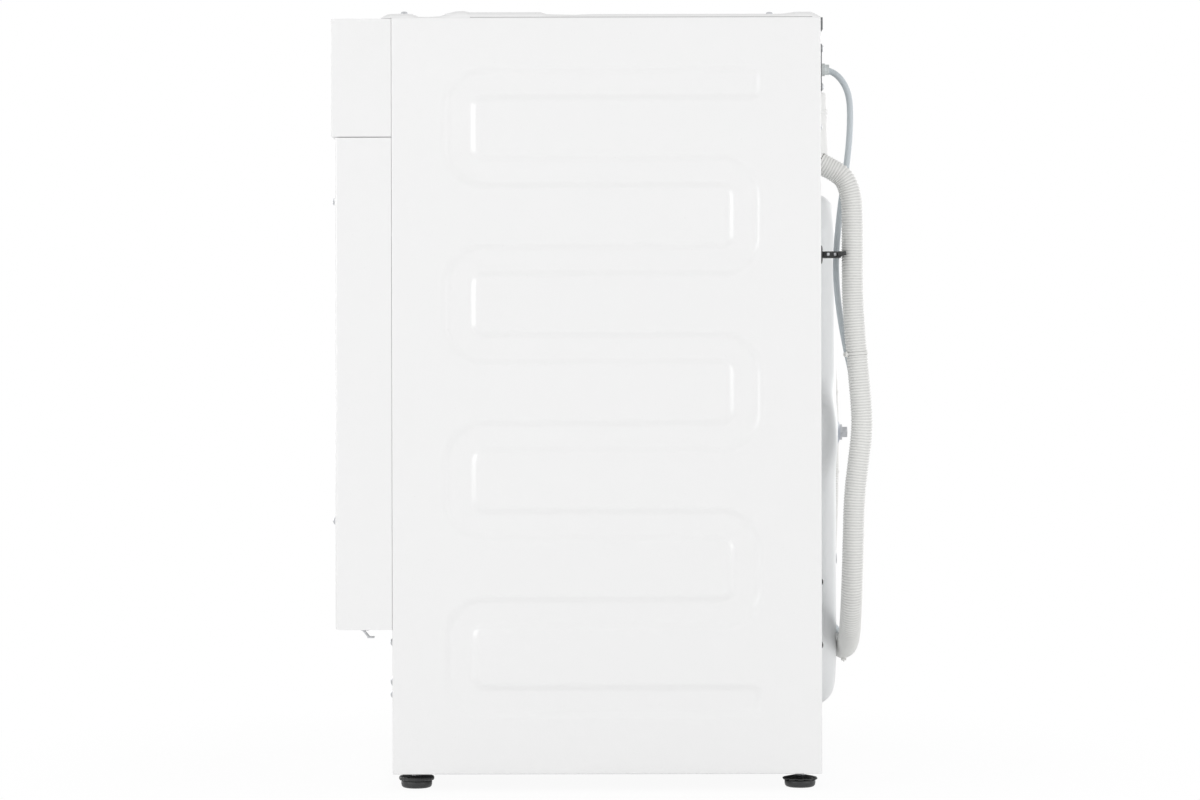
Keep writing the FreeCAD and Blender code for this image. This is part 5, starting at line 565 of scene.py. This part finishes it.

# %% [markdown]
# Where the top cover meets a side panel, the photograph has a thin grey line, the shadow in the gap under the
# cover's rim, which ends short of both corners. The lowest millimetre of the cover's rim gets that grey as a
# painted shadow.

# %% Painted shadow under the rim of the top cover
SHADOW_GAP_TOP, SHADOW_GAP_FRONT, SHADOW_GAP_REAR = 0.8162, -0.125, 0.236
lid = finish("lid_enamel", *RECIPES["white_enamel"])
tree = lid.node_tree
_, y, z = place_parts(tree)
# painted shadow: the gap under the rim is drawn as grey on the rim itself
gap_shadow = where_all(tree, (z, "LESS_THAN", SHADOW_GAP_TOP), (y, "GREATER_THAN", SHADOW_GAP_FRONT), (y, "LESS_THAN", SHADOW_GAP_REAR))
paint_marks_and_shade(lid, gap_shadow, (0.40, 0.40, 0.40))

# %% [markdown]
# Painted shade: the hose's finish is darker in its grooves, which little light reaches. Object coordinates
# can't follow a bent hose, so the finish reads the attribute that the mesh was given for its grooves.

# %% Painted shade in the grooves of the hose
hose_ribs = finish("ribbed_hose_plastic", (0.84, 0.84, 0.82), 0.97, (0.42, 0.55), 12.0, 1200.0, 0.00001)
groove_depth = hose_ribs.node_tree.nodes.new("ShaderNodeAttribute")
groove_depth.attribute_name = "groove"
# painted shade: the grooves get a darker grey
paint_marks_and_shade(hose_ribs, groove_depth.outputs["Fac"], (0.62, 0.62, 0.605))

# %% [markdown]
# ## CAD nodes and their finishes
# The CAD pieces that stay in view keep their shape and get the finish of their material. One table says which
# piece has which. What is left over is printed: the nodes that a new piece replaces.

# %% Which piece has which finish
WEARS = {
    "white_enamel": ["lower_front_panel", "plinth_panel"],
    "fascia_plastic": ["control_fascia"],
    "white_plastic": ["detergent_drawer", "door_outer_ring", "door_handle", "program_knob",
                      "option_button", "start_button", "power_button"],
    "white_moulding": ["filter_flap", "detergent_housing"],
    "coated_sheet": ["service_cover"],
    "dark_steel": ["rear_brackets"],
    "screw_steel": ["cabinet_screws"],
    "zinc_steel": ["plinth_hook", "door_hinge", "suspension_springs", "transit_bolts", "motor_pulley"],
    "drum_steel": ["drum_shell"],
    "grey_plastic": ["door_inner_ring", "drum_lifters"],
    "black_plastic": ["door_lock", "base_frame", "dampers", "pump_impeller"],
    "bush_plastic": ["transit_bushes"],
    "gland_plastic": ["cable_gland"],
    "valve_plastic": ["inlet_valve", "drain_pump", "filter_cap"],
    "plug_plastic": ["mains_plug"],
    "black_rubber": ["inner_hoses", "drive_belt"],
    "gasket_rubber": ["door_gasket"],
    "door_glass": ["door_glass"],
    "display": ["display_window"],
    "circuit_board": ["control_board"],
    "tub_plastic": ["tub_front", "tub_rear"],
    "concrete": ["counterweights"],
    "motor_case": ["drive_motor"],
    "bearing_steel": ["drum_bearings", "heater"],
    "cast_aluminium": ["drum_spider", "drum_pulley"],
}


def dress(piece, name):
    """Gives a piece one finish, in place of whatever it had."""
    piece.data.materials.clear()
    piece.data.materials.append(FINISHES[name])


plain = set(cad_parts)
for name, nodes in WEARS.items():
    for node in nodes:
        dress(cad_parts[node], name)
        plain.remove(node)
dress(drain_hose, "ribbed_hose_plastic")
dress(mains_cable, "cable_sheath")
for piece in (hose_cuff, *ties):
    dress(piece, "hose_plastic")
print("to be replaced:", sorted(plain))

# %% [markdown]
# ## Side panels
# Each side of the cabinet is one sheet of enamelled steel. A long rib is pressed into it, which runs to and fro
# eight times and stops the sheet from drumming. A bevelled groove would look cut, so the panel is a height
# field: the distance of every grid point from the middle line of the rib sets how deep it lies, with a soft
# step at the rib's edge. The grid is finer where the rib bends. The border is folded over a small radius.

# %% Distance from the rib
RIB_TOP, RIB_PITCH, RIB_RUNS = 0.7455, 0.093, 8
RIB_FRONT, RIB_REAR, RIB_TURN = -0.13625, 0.16475, 0.026
RIB_HALF, RIB_DEPTH, RIB_SOFT = 0.0185, 0.0024, 0.0085


def rib_distance(y, z):
    """Distance from the to-and-fro line: least of the distances from its runs, uprights and corner arcs.

    The two free ends are squared off by taking the fourth root of the sum of fourth powers."""
    best = np.full(y.shape, 1.0)
    for run in range(RIB_RUNS):
        level = RIB_TOP - run * RIB_PITCH
        front = RIB_FRONT + RIB_TURN
        rear = RIB_REAR if run in (0, RIB_RUNS - 1) else RIB_REAR - RIB_TURN
        past = np.maximum(np.maximum(front - y, y - rear), 0)
        best = np.minimum(best, (past ** 4 + (z - level) ** 4) ** 0.25)
        if run == RIB_RUNS - 1:
            continue
        at = RIB_FRONT if run % 2 == 0 else RIB_REAR
        inward = 1 if run % 2 == 0 else -1
        low, high = level - RIB_PITCH + RIB_TURN, level - RIB_TURN
        past = np.maximum(np.maximum(low - z, z - high), 0)
        best = np.minimum(best, np.hypot(y - at, past))
        for middle, way in ((high, 1), (low, -1)):
            dy, dz = (y - at - inward * RIB_TURN) * inward, (z - middle) * way
            arc = np.abs(np.hypot(dy, dz) - RIB_TURN)
            best = np.minimum(best, np.where((dy <= 0) & (dz >= 0), arc, 1.0))
    return best


# %% Grid lines of a side panel
PANEL_Y, PANEL_Z = (-0.2083, 0.24475), (0.0175, 0.8155)
FRONT_BENDS, REAR_BENDS, Y_COUNTS = (-0.162, -0.086), (0.114, 0.190), (10, 34, 11, 34, 10)
RUN_STEPS = np.array([0.0, 6.0, 9.0, 10.5, 12.0, 13.5, 15.0, 16.5, 18.0, 20.0, 23.0, 26.0, 29.0, 32.0, 36.0,
                      41.0, 46.5]) / 1000
BORDER_LINES, BORDER_GAP = 6, 0.004
FOLD, FOLD_STEPS, FLANGE = 0.0012, 5, 0.010


def folded_lines(inner, span):
    """Grid lines of one direction: the flat field, then the fold and the flange measured along the sheet."""
    fold = np.linspace(0, FOLD * math.pi / 2, FOLD_STEPS)[1:]
    beyond = np.append(fold, fold[-1] + FLANGE)
    return np.concatenate([span[0] + FOLD - beyond[::-1], inner, span[1] - FOLD + beyond])


def panel_lines():
    """Grid lines along Y, close together where the rib bends, and along Z, close at the edges of its runs."""
    marks = (PANEL_Y[0] + FOLD, *FRONT_BENDS, *REAR_BENDS, PANEL_Y[1] - FOLD)
    y = np.unique(np.concatenate([np.linspace(a, b, n) for a, b, n in zip(marks, marks[1:], Y_COUNTS)]))
    levels = RIB_TOP - RIB_PITCH * np.arange(RIB_RUNS)
    z = (levels[:, None] + np.concatenate([-RUN_STEPS[:0:-1], RUN_STEPS[:-1]])).ravel()
    low = np.linspace(PANEL_Z[0] + FOLD, z.min() - BORDER_GAP, BORDER_LINES)
    high = np.linspace(z.max() + BORDER_GAP, PANEL_Z[1] - FOLD, BORDER_LINES)
    return folded_lines(y, PANEL_Y), folded_lines(np.unique(np.concatenate([z, low, high]).round(6)), PANEL_Z)


print("panel grid", [len(lines) for lines in panel_lines()])

# %% Side panels
SHEET, SHEET_SHARP, REAR_FLANGE_MORE = 0.0009, 60, 1.1


def side_panel_points(sign):
    """Height field of the rib on a sheet whose border is folded over a quarter circle into a flange.

    The fold goes out by fold * sin(angle) and in by fold * (1 - cos(angle)). The flange goes on inwards, and is
    deeper at the rear."""
    y, z = np.meshgrid(*panel_lines(), indexing="ij")
    flat_y = np.clip(y, PANEL_Y[0] + FOLD, PANEL_Y[1] - FOLD)
    flat_z = np.clip(z, PANEL_Z[0] + FOLD, PANEL_Z[1] - FOLD)
    over_y, over_z = y - flat_y, z - flat_z
    over = np.maximum(np.abs(over_y), np.abs(over_z))
    length = np.maximum(np.hypot(over_y, over_z), 1e-9)
    angle = np.minimum(over / FOLD, math.pi / 2)
    at_rear = (over_y > 0) & (np.abs(over_y) >= np.abs(over_z))
    deep = np.maximum(over - FOLD * math.pi / 2, 0) * (1 + REAR_FLANGE_MORE * at_rear)
    t = np.clip((RIB_HALF - rib_distance(flat_y, flat_z)) / RIB_SOFT, 0, 1)
    rib = RIB_DEPTH * t * t * (3 - 2 * t)
    x = SIDE - rib - FOLD * (1 - np.cos(angle)) - deep
    reach = FOLD * np.sin(angle) / length
    return np.stack([sign * x, flat_y + over_y * reach, flat_z + over_z * reach], -1)


def thicken(piece, thickness):
    """Gives a sheet its thickness, inwards from the side that is seen."""
    wall = piece.modifiers.new("sheet", "SOLIDIFY")
    wall.thickness = thickness
    wall.offset = -1.0


for side, sign in (("right", 1), ("left", -1)):
    points = side_panel_points(sign)
    panel = add_piece(f"side_sheet_{side}", points, grid_faces(*points.shape[:2]),
                      stands_for=[f"side_panel_{side}"], slot="white_enamel", sharp=SHEET_SHARP)
    thicken(panel, SHEET)
    dress(panel, "white_enamel")

# %% [markdown]
# ## Rear panel
# The back is one coated sheet. Its middle is pressed out by 25 mm to make room for the drive, with a broad
# field behind the drum and another below it. The CAD model has flat slopes there, but a real press leaves round
# shoulders. So the sheet is a height field again: two rounded boxes and a pad round each outer transit bolt are
# joined by a soft union, and the distance inside their common outline sets the height along a quarter circle.
# The faces behind the service cover are left out, which leaves its hole.

# %% Rear panel
REAR_Y, REAR_RISE, REAR_RUN, REAR_FOOT = 0.24375, 0.025, 0.024, 0.12
LOBES = [(0.0, 0.4915, 0.1960, 0.1475, 0.050), (0.0, 0.2520, 0.1930, 0.1780, 0.070),
         (0.178, 0.3765, 0.046, 0.046, 0.045), (-0.178, 0.3765, 0.046, 0.046, 0.045)]
LOBE_BLEND = 0.03
SLOPE_STEP = 0.0025
COVER_HOLE = 0.126


def inside_lobes(x, z):
    """Distance inside the outline: corner - |outside part| - least inside part of each box, joined by a soft
    maximum, which adds near^2 / (4 * blend) where two boxes are within blend of each other."""
    depth = np.full(x.shape, -1.0)
    for middle_x, middle_z, half_x, half_z, corner in LOBES:
        qx, qz = np.abs(x - middle_x) - half_x + corner, np.abs(z - middle_z) - half_z + corner
        lobe = corner - np.hypot(np.maximum(qx, 0), np.maximum(qz, 0)) - np.minimum(np.maximum(qx, qz), 0)
        near = np.maximum(LOBE_BLEND - np.abs(depth - lobe), 0)
        depth = np.maximum(depth, lobe) + near ** 2 / (4 * LOBE_BLEND)
    return depth


def rear_points():
    """Height = rise * sqrt(t * (2 - t)) with t the share of the run, eased at the foot of the slope.

    The grid lines are close together on the slopes, and further apart on the flat fields between them."""
    border = np.linspace(0.246, 0.296, 6)
    slope = np.arange(0.100, 0.2401, SLOPE_STEP)
    x = np.concatenate([-border[::-1], -slope[::-1], np.linspace(-0.092, 0.092, 19), slope, border])
    z = np.concatenate([np.linspace(0.0185, 0.064, 6), np.arange(0.068, 0.1601, SLOPE_STEP),
                        np.linspace(0.167, 0.536, 60), np.arange(0.543, 0.6401, SLOPE_STEP),
                        np.linspace(0.648, 0.8145, 18)])
    x, z = np.meshgrid(x, z, indexing="ij")
    t = np.clip(inside_lobes(x, z) / REAR_RUN, 0, 1)
    foot = np.clip(t / REAR_FOOT, 0, 1)
    height = REAR_RISE * np.sqrt(t * (2 - t)) * foot * foot * (3 - 2 * foot)
    return np.stack([x, REAR_Y + height, z], -1)


points = rear_points()
quads = grid_faces(*points.shape[:2])
points = points.reshape(-1, 3)
middles = points[quads].mean(1)
quads = quads[np.hypot(middles[:, 0], middles[:, 2] - DRUM_Z) > COVER_HOLE]
kept, quads = np.unique(quads, return_inverse=True)
rear_sheet = add_piece("rear_sheet", points[kept], quads.reshape(-1, 4), stands_for=["rear_panel"],
                       slot="coated_sheet", sharp=SHEET_SHARP)
thicken(rear_sheet, SHEET)
dress(rear_sheet, "coated_sheet")

# %% [markdown]
# ## Top cover
# The top is a pressed sheet that lies between the side panels. Seen from the side it has a low step at the
# front, a dip, a tall field over the counterweight, a long flat field and a last step at the back. The sheet is
# that line of heights, carried across the machine and bent down at both sides over a round shoulder.

# %% Top cover
TOP_LINE = np.array([
    (-219.2, 815.2), (-217.6, 817.4), (-213.0, 820.4), (-200.0, 821.0), (-186.0, 820.6), (-180.0, 817.4),
    (-167.5, 817.3), (-156.0, 818.2), (-152.0, 820.4), (-141.0, 823.4), (-131.5, 823.8), (-126.0, 822.3),
    (-50.0, 822.3), (-45.0, 820.1), (-14.0, 819.4), (1.0, 820.1), (204.0, 820.1), (219.0, 822.2),
    (235.0, 822.2), (240.5, 819.6), (244.0, 817.4), (244.7, 816.2)]) / 1000
TOP_HALF, TOP_EDGE, TOP_ROUND = 0.2958, 0.8150, 0.011
TOP_STEPS, TOP_SOFT, TOP_SHEET = 180, 3, 0.0007


def top_points():
    """Height = edge + (line height - edge) * sqrt(s * (2 - s)), where s is the share of the shoulder passed.

    The line of heights is softened by a running mean. Past the shoulder, s counts on to the middle."""
    y = np.unique(np.concatenate([TOP_LINE[:, 0], np.linspace(TOP_LINE[0, 0], TOP_LINE[-1, 0], TOP_STEPS)]))
    line = np.interp(y, TOP_LINE[:, 0], TOP_LINE[:, 1])
    soft = np.convolve(np.pad(line, TOP_SOFT // 2, mode="edge"), np.ones(TOP_SOFT) / TOP_SOFT, "valid")
    s = np.concatenate([np.linspace(0, 1, 12) ** 2, np.linspace(1, 26, 24)[1:]])
    across = TOP_HALF - TOP_ROUND * s
    share = np.sqrt(np.clip(s * (2 - np.minimum(s, 1)), 0, 1))
    x = np.concatenate([across, -across[::-1]])
    share = np.concatenate([share, share[::-1]])
    height = TOP_EDGE + (soft[:, None] - TOP_EDGE) * share
    return np.stack(np.broadcast_arrays(x, y[:, None], height), -1)


points = top_points()
top_sheet = add_piece("top_sheet", points, grid_faces(*points.shape[:2]), stands_for=["top_cover"],
                      slot="white_enamel", sharp=SHEET_SHARP)
thicken(top_sheet, TOP_SHEET)
# the lid's finish carries the painted shadow under its rim
dress(top_sheet, "lid_enamel")

# %% [markdown]
# Four domed screws hold the cover down near its corners. Each is a turned shape with a stem that goes through
# the sheet. The rear pair sits a little lower than the front pair.

# %% Screws of the top cover
SCREW = np.array([(0.5, 815.0), (2.0, 815.0), (2.0, 820.2), (4.0, 820.2), (4.0, 822.4), (3.0, 823.7),
                  (1.6, 824.1), (0.5, 824.1)]) / 1000
SCREW_X, SCREW_SIDES = 0.277, 24
SCREW_ROWS = [(-0.1955, 0.0), (0.1915, -0.0012)]
heads = [turned(SCREW, SCREW_SIDES, upright) + np.array([x, y, rise])
         for x in (-SCREW_X, SCREW_X) for y, rise in SCREW_ROWS]
top_screws = add_piece("top_screws", *shells(*[(head, False) for head in heads]), slot="zinc_steel")
dress(top_screws, "zinc_steel")

# %% [markdown]
# ## Drain outlet
# The white outlet is a moulding on the back: an upright half pipe with a ring, and a slanted collar that the
# hose is pushed into. Both are turned shapes. What would lie behind the sheet is pressed flat against it, by
# taking the greater of the point's own depth and the depth of the sheet.

# %% Drain outlet
PIPE = np.array([(1.0, 739.2), (8.6, 739.2), (10.0, 738.5), (10.6, 737.0), (10.7, 721.6), (11.9, 721.0),
                 (12.4, 719.8), (12.4, 717.4), (11.9, 716.2), (11.4, 715.6), (11.5, 700.0), (11.7, 690.0),
                 (12.2, 676.0), (11.4, 674.0), (1.0, 674.0)]) / 1000
COLLAR = np.array([(1.0, -14.0), (12.6, -14.0), (12.8, -6.0), (12.4, -5.2), (1.0, -5.2)]) / 1000
HOSE_X, PIPE_Y, COLLAR_Y, COLLAR_Z = 0.252, 0.24275, 0.24945, 0.6629
TILT, OUTLET_SIDES = math.radians(29), 48


def against_back(u, v, h):
    """Place of the upright pipe, with its depth no less than that of the sheet."""
    return np.stack([HOSE_X + u, np.maximum(PIPE_Y + v, REAR_Y), h], -1)


def slanted(u, v, h):
    """Place of the collar, whose axis goes out by cos(tilt) and down by sin(tilt)."""
    y = COLLAR_Y + h * math.cos(TILT) + v * math.sin(TILT)
    z = COLLAR_Z - h * math.sin(TILT) + v * math.cos(TILT)
    return np.stack([HOSE_X + u, np.maximum(y, REAR_Y), z], -1)


pipe, collar = turned(PIPE, OUTLET_SIDES, against_back), turned(COLLAR, OUTLET_SIDES, slanted)
outlet = add_piece("drain_spigot", *shells((pipe, False), (collar, False)), stands_for=["drain_outlet"],
                   slot="white_moulding")
dress(outlet, "white_moulding")

# %% [markdown]
# ## Hose clips
# A black clip on each side of the back holds the hose: a foot plate, an arm, a cross piece and two fingers that
# grip the hose. Moulded parts have no sharp edges, so each is a rounded block, and two rivets shine on the arm.
# The blocks are listed in millimetres, as middle and half sizes, and mirrored for the far side.

# %% Hose clips
CLIP_AT, CLIP_POWER = np.array([HOSE_X, 0.0, 0.5665]), 8.0
CLIP_BLOCKS = [((0.0, 246.4, 0.0), (12.0, 2.4, 9.6)), ((0.0, 257.0, 0.0), (6.0, 10.6, 3.6)),
               ((0.0, 266.6, 0.0), (13.0, 2.0, 3.5)), ((12.9, 269.2, 1.0), (1.4, 4.4, 2.3)),
               ((-12.9, 269.2, 1.0), (1.4, 4.4, 2.3))]
RIVETS = [((6.0, 254.6, 0.4), (1.0, 1.5, 1.5)), ((6.0, 262.2, 0.4), (1.0, 1.5, 1.5))]
for side, sign in (("right", 1), ("left", -1)):
    mirror = np.array([sign, 1, 1])
    for name, parts, slot in (("hose_clip", CLIP_BLOCKS, "black_plastic"),
                              ("clip_rivets", RIVETS, "zinc_steel")):
        grids = [(block((CLIP_AT + np.array(middle) / 1000) * mirror, np.eye(3), np.array(halves) / 1000,
                        CLIP_POWER), False) for middle, halves in parts]
        clip = add_piece(f"{name}_{side}", *shells(*grids), stands_for=["hose_clips"], slot=slot)
        dress(clip, slot)

# %% [markdown]
# ## Feet
# Each foot is a black pad with a threaded stud, and a lock ring that is turned up against the base. The front
# rings are flat, and the rear rings are domed and have ten lugs for a spanner, as in the photograph. The lugs
# are a swing of the radius round the ring, which is strongest at the rim.

# %% Feet
PAD = np.array([(1.0, 0.0), (12.4, 0.0), (14.6, 0.7), (15.9, 2.1), (16.4, 4.0), (16.5, 6.6), (16.2, 7.3),
                (15.4, 7.6), (5.0, 7.6)]) / 1000
FLAT_RING = np.array([(5.1, 7.7), (16.8, 7.7), (18.2, 8.4), (18.8, 9.7), (18.8, 11.2), (18.2, 12.3),
                      (16.8, 12.8), (5.1, 12.8)]) / 1000
DOME_RING = np.array([(5.1, 7.7), (15.4, 7.7), (17.6, 7.9), (18.8, 8.8), (18.8, 9.8), (17.6, 10.5),
                      (14.0, 11.3), (10.0, 12.1), (6.6, 12.8), (5.1, 12.9)]) / 1000
THREADS, THREAD_LOW, THREAD_PITCH = 30, 7.4, 1.66
thread_heights = THREAD_LOW + THREAD_PITCH * np.arange(THREADS)[:, None] + [0.0, 0.6, 1.0]
STUD = np.column_stack([np.tile([4.45, 5.0, 5.0], THREADS), thread_heights.ravel()]) / 1000
PAD_SIDES, RING_SIDES, STUD_SIDES = 60, 120, 30
RIM_START, RIM_WIDTH, LUG_STEEP = 0.012, 0.006, 2.2
FOOT_X = 0.262
FEET = {"front": (-0.18475, FLAT_RING, 24, 0.03), "rear": (0.22325, DOME_RING, 10, 0.13)}


def lugged_ring(outline, lugs, share):
    """Turned ring whose radius swings with the angle: radius * (1 + share * rim share * wave)."""
    points = turned(outline, RING_SIDES, upright)
    a = np.arctan2(points[..., 1], points[..., 0])
    rim = np.clip((np.hypot(points[..., 0], points[..., 1]) - RIM_START) / RIM_WIDTH, 0, 1)
    wave = np.clip(LUG_STEEP * np.cos(lugs * a), -1, 1) * 0.5 - 0.5
    points[..., :2] *= (1 + share * rim * wave)[..., None]
    return points


for side, x in (("left", -FOOT_X), ("right", FOOT_X)):
    for end, (y, outline, lugs, share) in FEET.items():
        at = np.array([x, y, 0])
        pad = turned(PAD, PAD_SIDES, upright) + at
        ring = lugged_ring(outline, lugs, share) + at
        stud = turned(STUD, STUD_SIDES, upright) + at
        for name, grids, slot in (("levelling_foot", [(pad, False), (ring, True)], "black_plastic"),
                                  ("foot_stud", [(stud, False)], "zinc_steel")):
            foot = add_piece(f"{name}_{end}_{side}", *shells(*grids), body=f"foot_{end}_{side}_body",
                             stands_for=[f"foot_{end}_{side}"], slot=slot)
            dress(foot, slot)

# %% [markdown]
# ## Floor
# The photograph was cut out on white. The floor gives that background: it shines white to the camera, to
# mirrors and through glass, and is plain and pale to everything else. Near the machine a small share of the
# plain floor shows in that white, and with it the shadow.

# %% Floor
FLOOR_HALF, FLOOR_PALE, FLOOR_ROUGH = 30, 0.9, 0.9
WHITE_SHARE = {"From Min": 0.35, "From Max": 0.8, "To Min": 0.94, "To Max": 1.0}


def seen_directly(tree):
    """One for rays from the camera, from a gloss or through glass, and zero for all others."""
    path = tree.nodes.new("ShaderNodeLightPath")
    either = maths(tree, "MAXIMUM", path.outputs["Is Camera Ray"], path.outputs["Is Glossy Ray"])
    return maths(tree, "MAXIMUM", either, path.outputs["Is Transmission Ray"])


floor_finish = bpy.data.materials.new("studio_floor")
floor_finish.use_nodes = True
tree = floor_finish.node_tree
matt = tree.nodes["Principled BSDF"]
matt.inputs["Base Color"].default_value = (FLOOR_PALE, FLOOR_PALE, FLOOR_PALE, 1)
matt.inputs["Roughness"].default_value = FLOOR_ROUGH
glow = tree.nodes.new("ShaderNodeEmission")
place = tree.nodes.new("ShaderNodeTexCoord")
distance = tree.nodes.new("ShaderNodeVectorMath")
distance.operation = "LENGTH"
link(tree, place.outputs["Object"], distance.inputs[0])
away = tree.nodes.new("ShaderNodeMapRange")
away.interpolation_type = "SMOOTHSTEP"
for socket, value in WHITE_SHARE.items():
    away.inputs[socket].default_value = value
link(tree, distance.outputs["Value"], away.inputs["Value"])
share = maths(tree, "MULTIPLY", seen_directly(tree), away.outputs["Result"])
blend = tree.nodes.new("ShaderNodeMixShader")
link(tree, share, blend.inputs[0])
link(tree, matt.outputs[0], blend.inputs[1])
link(tree, glow.outputs[0], blend.inputs[2])
link(tree, blend.outputs[0], tree.nodes["Material Output"].inputs["Surface"])
floor_mesh = bpy.data.meshes.new("studio_floor")
corners = [(x * FLOOR_HALF, y * FLOOR_HALF, 0) for x, y in ((-1, -1), (1, -1), (1, 1), (-1, 1))]
floor_mesh.from_pydata(corners, [], [(0, 1, 2, 3)])
floor_mesh.materials.append(floor_finish)
floor = bpy.data.objects.new("studio_floor", floor_mesh)
bpy.context.scene.collection.objects.link(floor)
print("floor", 2 * FLOOR_HALF, "m wide")

# %% [markdown]
# ## Sky
# The sky is a plain white world. To the camera, to mirrors and through glass it has a strength of one, which is
# white. To all other rays it is weaker, because it is only a part of the light on the machine.

# %% Sky
SKY_LIGHT = 0.658
world = bpy.data.worlds.new("studio_sky")
bpy.context.scene.world = world
world.use_nodes = True
tree = world.node_tree
sky = tree.nodes["Background"]
strength = tree.nodes.new("ShaderNodeMapRange")
strength.inputs["To Min"].default_value = SKY_LIGHT
strength.inputs["To Max"].default_value = 1.0
link(tree, seen_directly(tree), strength.inputs["Value"])
link(tree, strength.outputs["Result"], sky.inputs["Strength"])
sky.inputs["Color"].default_value = (1, 1, 1, 1)
print("sky lights with", SKY_LIGHT)

# %% [markdown]
# ## Lamps
# The rest of the light comes from four large soft lamps. They stand low, at the corners, so that no flat side
# mirrors one into the portrait camera, and only the bends of the rib catch them. The Standard view transform
# shows colours as they are written.

# %% Lamps
AIM, LAMP_HEIGHT, LAMP_SIZE = Vector((0, 0, 0.4)), 1.0, 1.5
LAMPS = [("near_front_lamp", 2.6, -2.4, 30), ("near_back_lamp", 2.4, 2.5, 25),
         ("far_front_lamp", -2.6, -2.4, 26), ("far_back_lamp", -2.4, 2.5, 25)]
for name, x, y, power in LAMPS:
    data = bpy.data.lights.new(name, "AREA")
    data.shape = "SQUARE"
    data.size = LAMP_SIZE
    data.energy = power
    lamp = bpy.data.objects.new(name, data)
    lamp.location = (x, y, LAMP_HEIGHT)
    lamp.rotation_euler = (AIM - lamp.location).to_track_quat("-Z", "Y").to_euler()
    bpy.context.scene.collection.objects.link(lamp)
bpy.context.scene.view_settings.view_transform = "Standard"
print(len(LAMPS), "lamps with", sum(power for *_, power in LAMPS), "W in all")
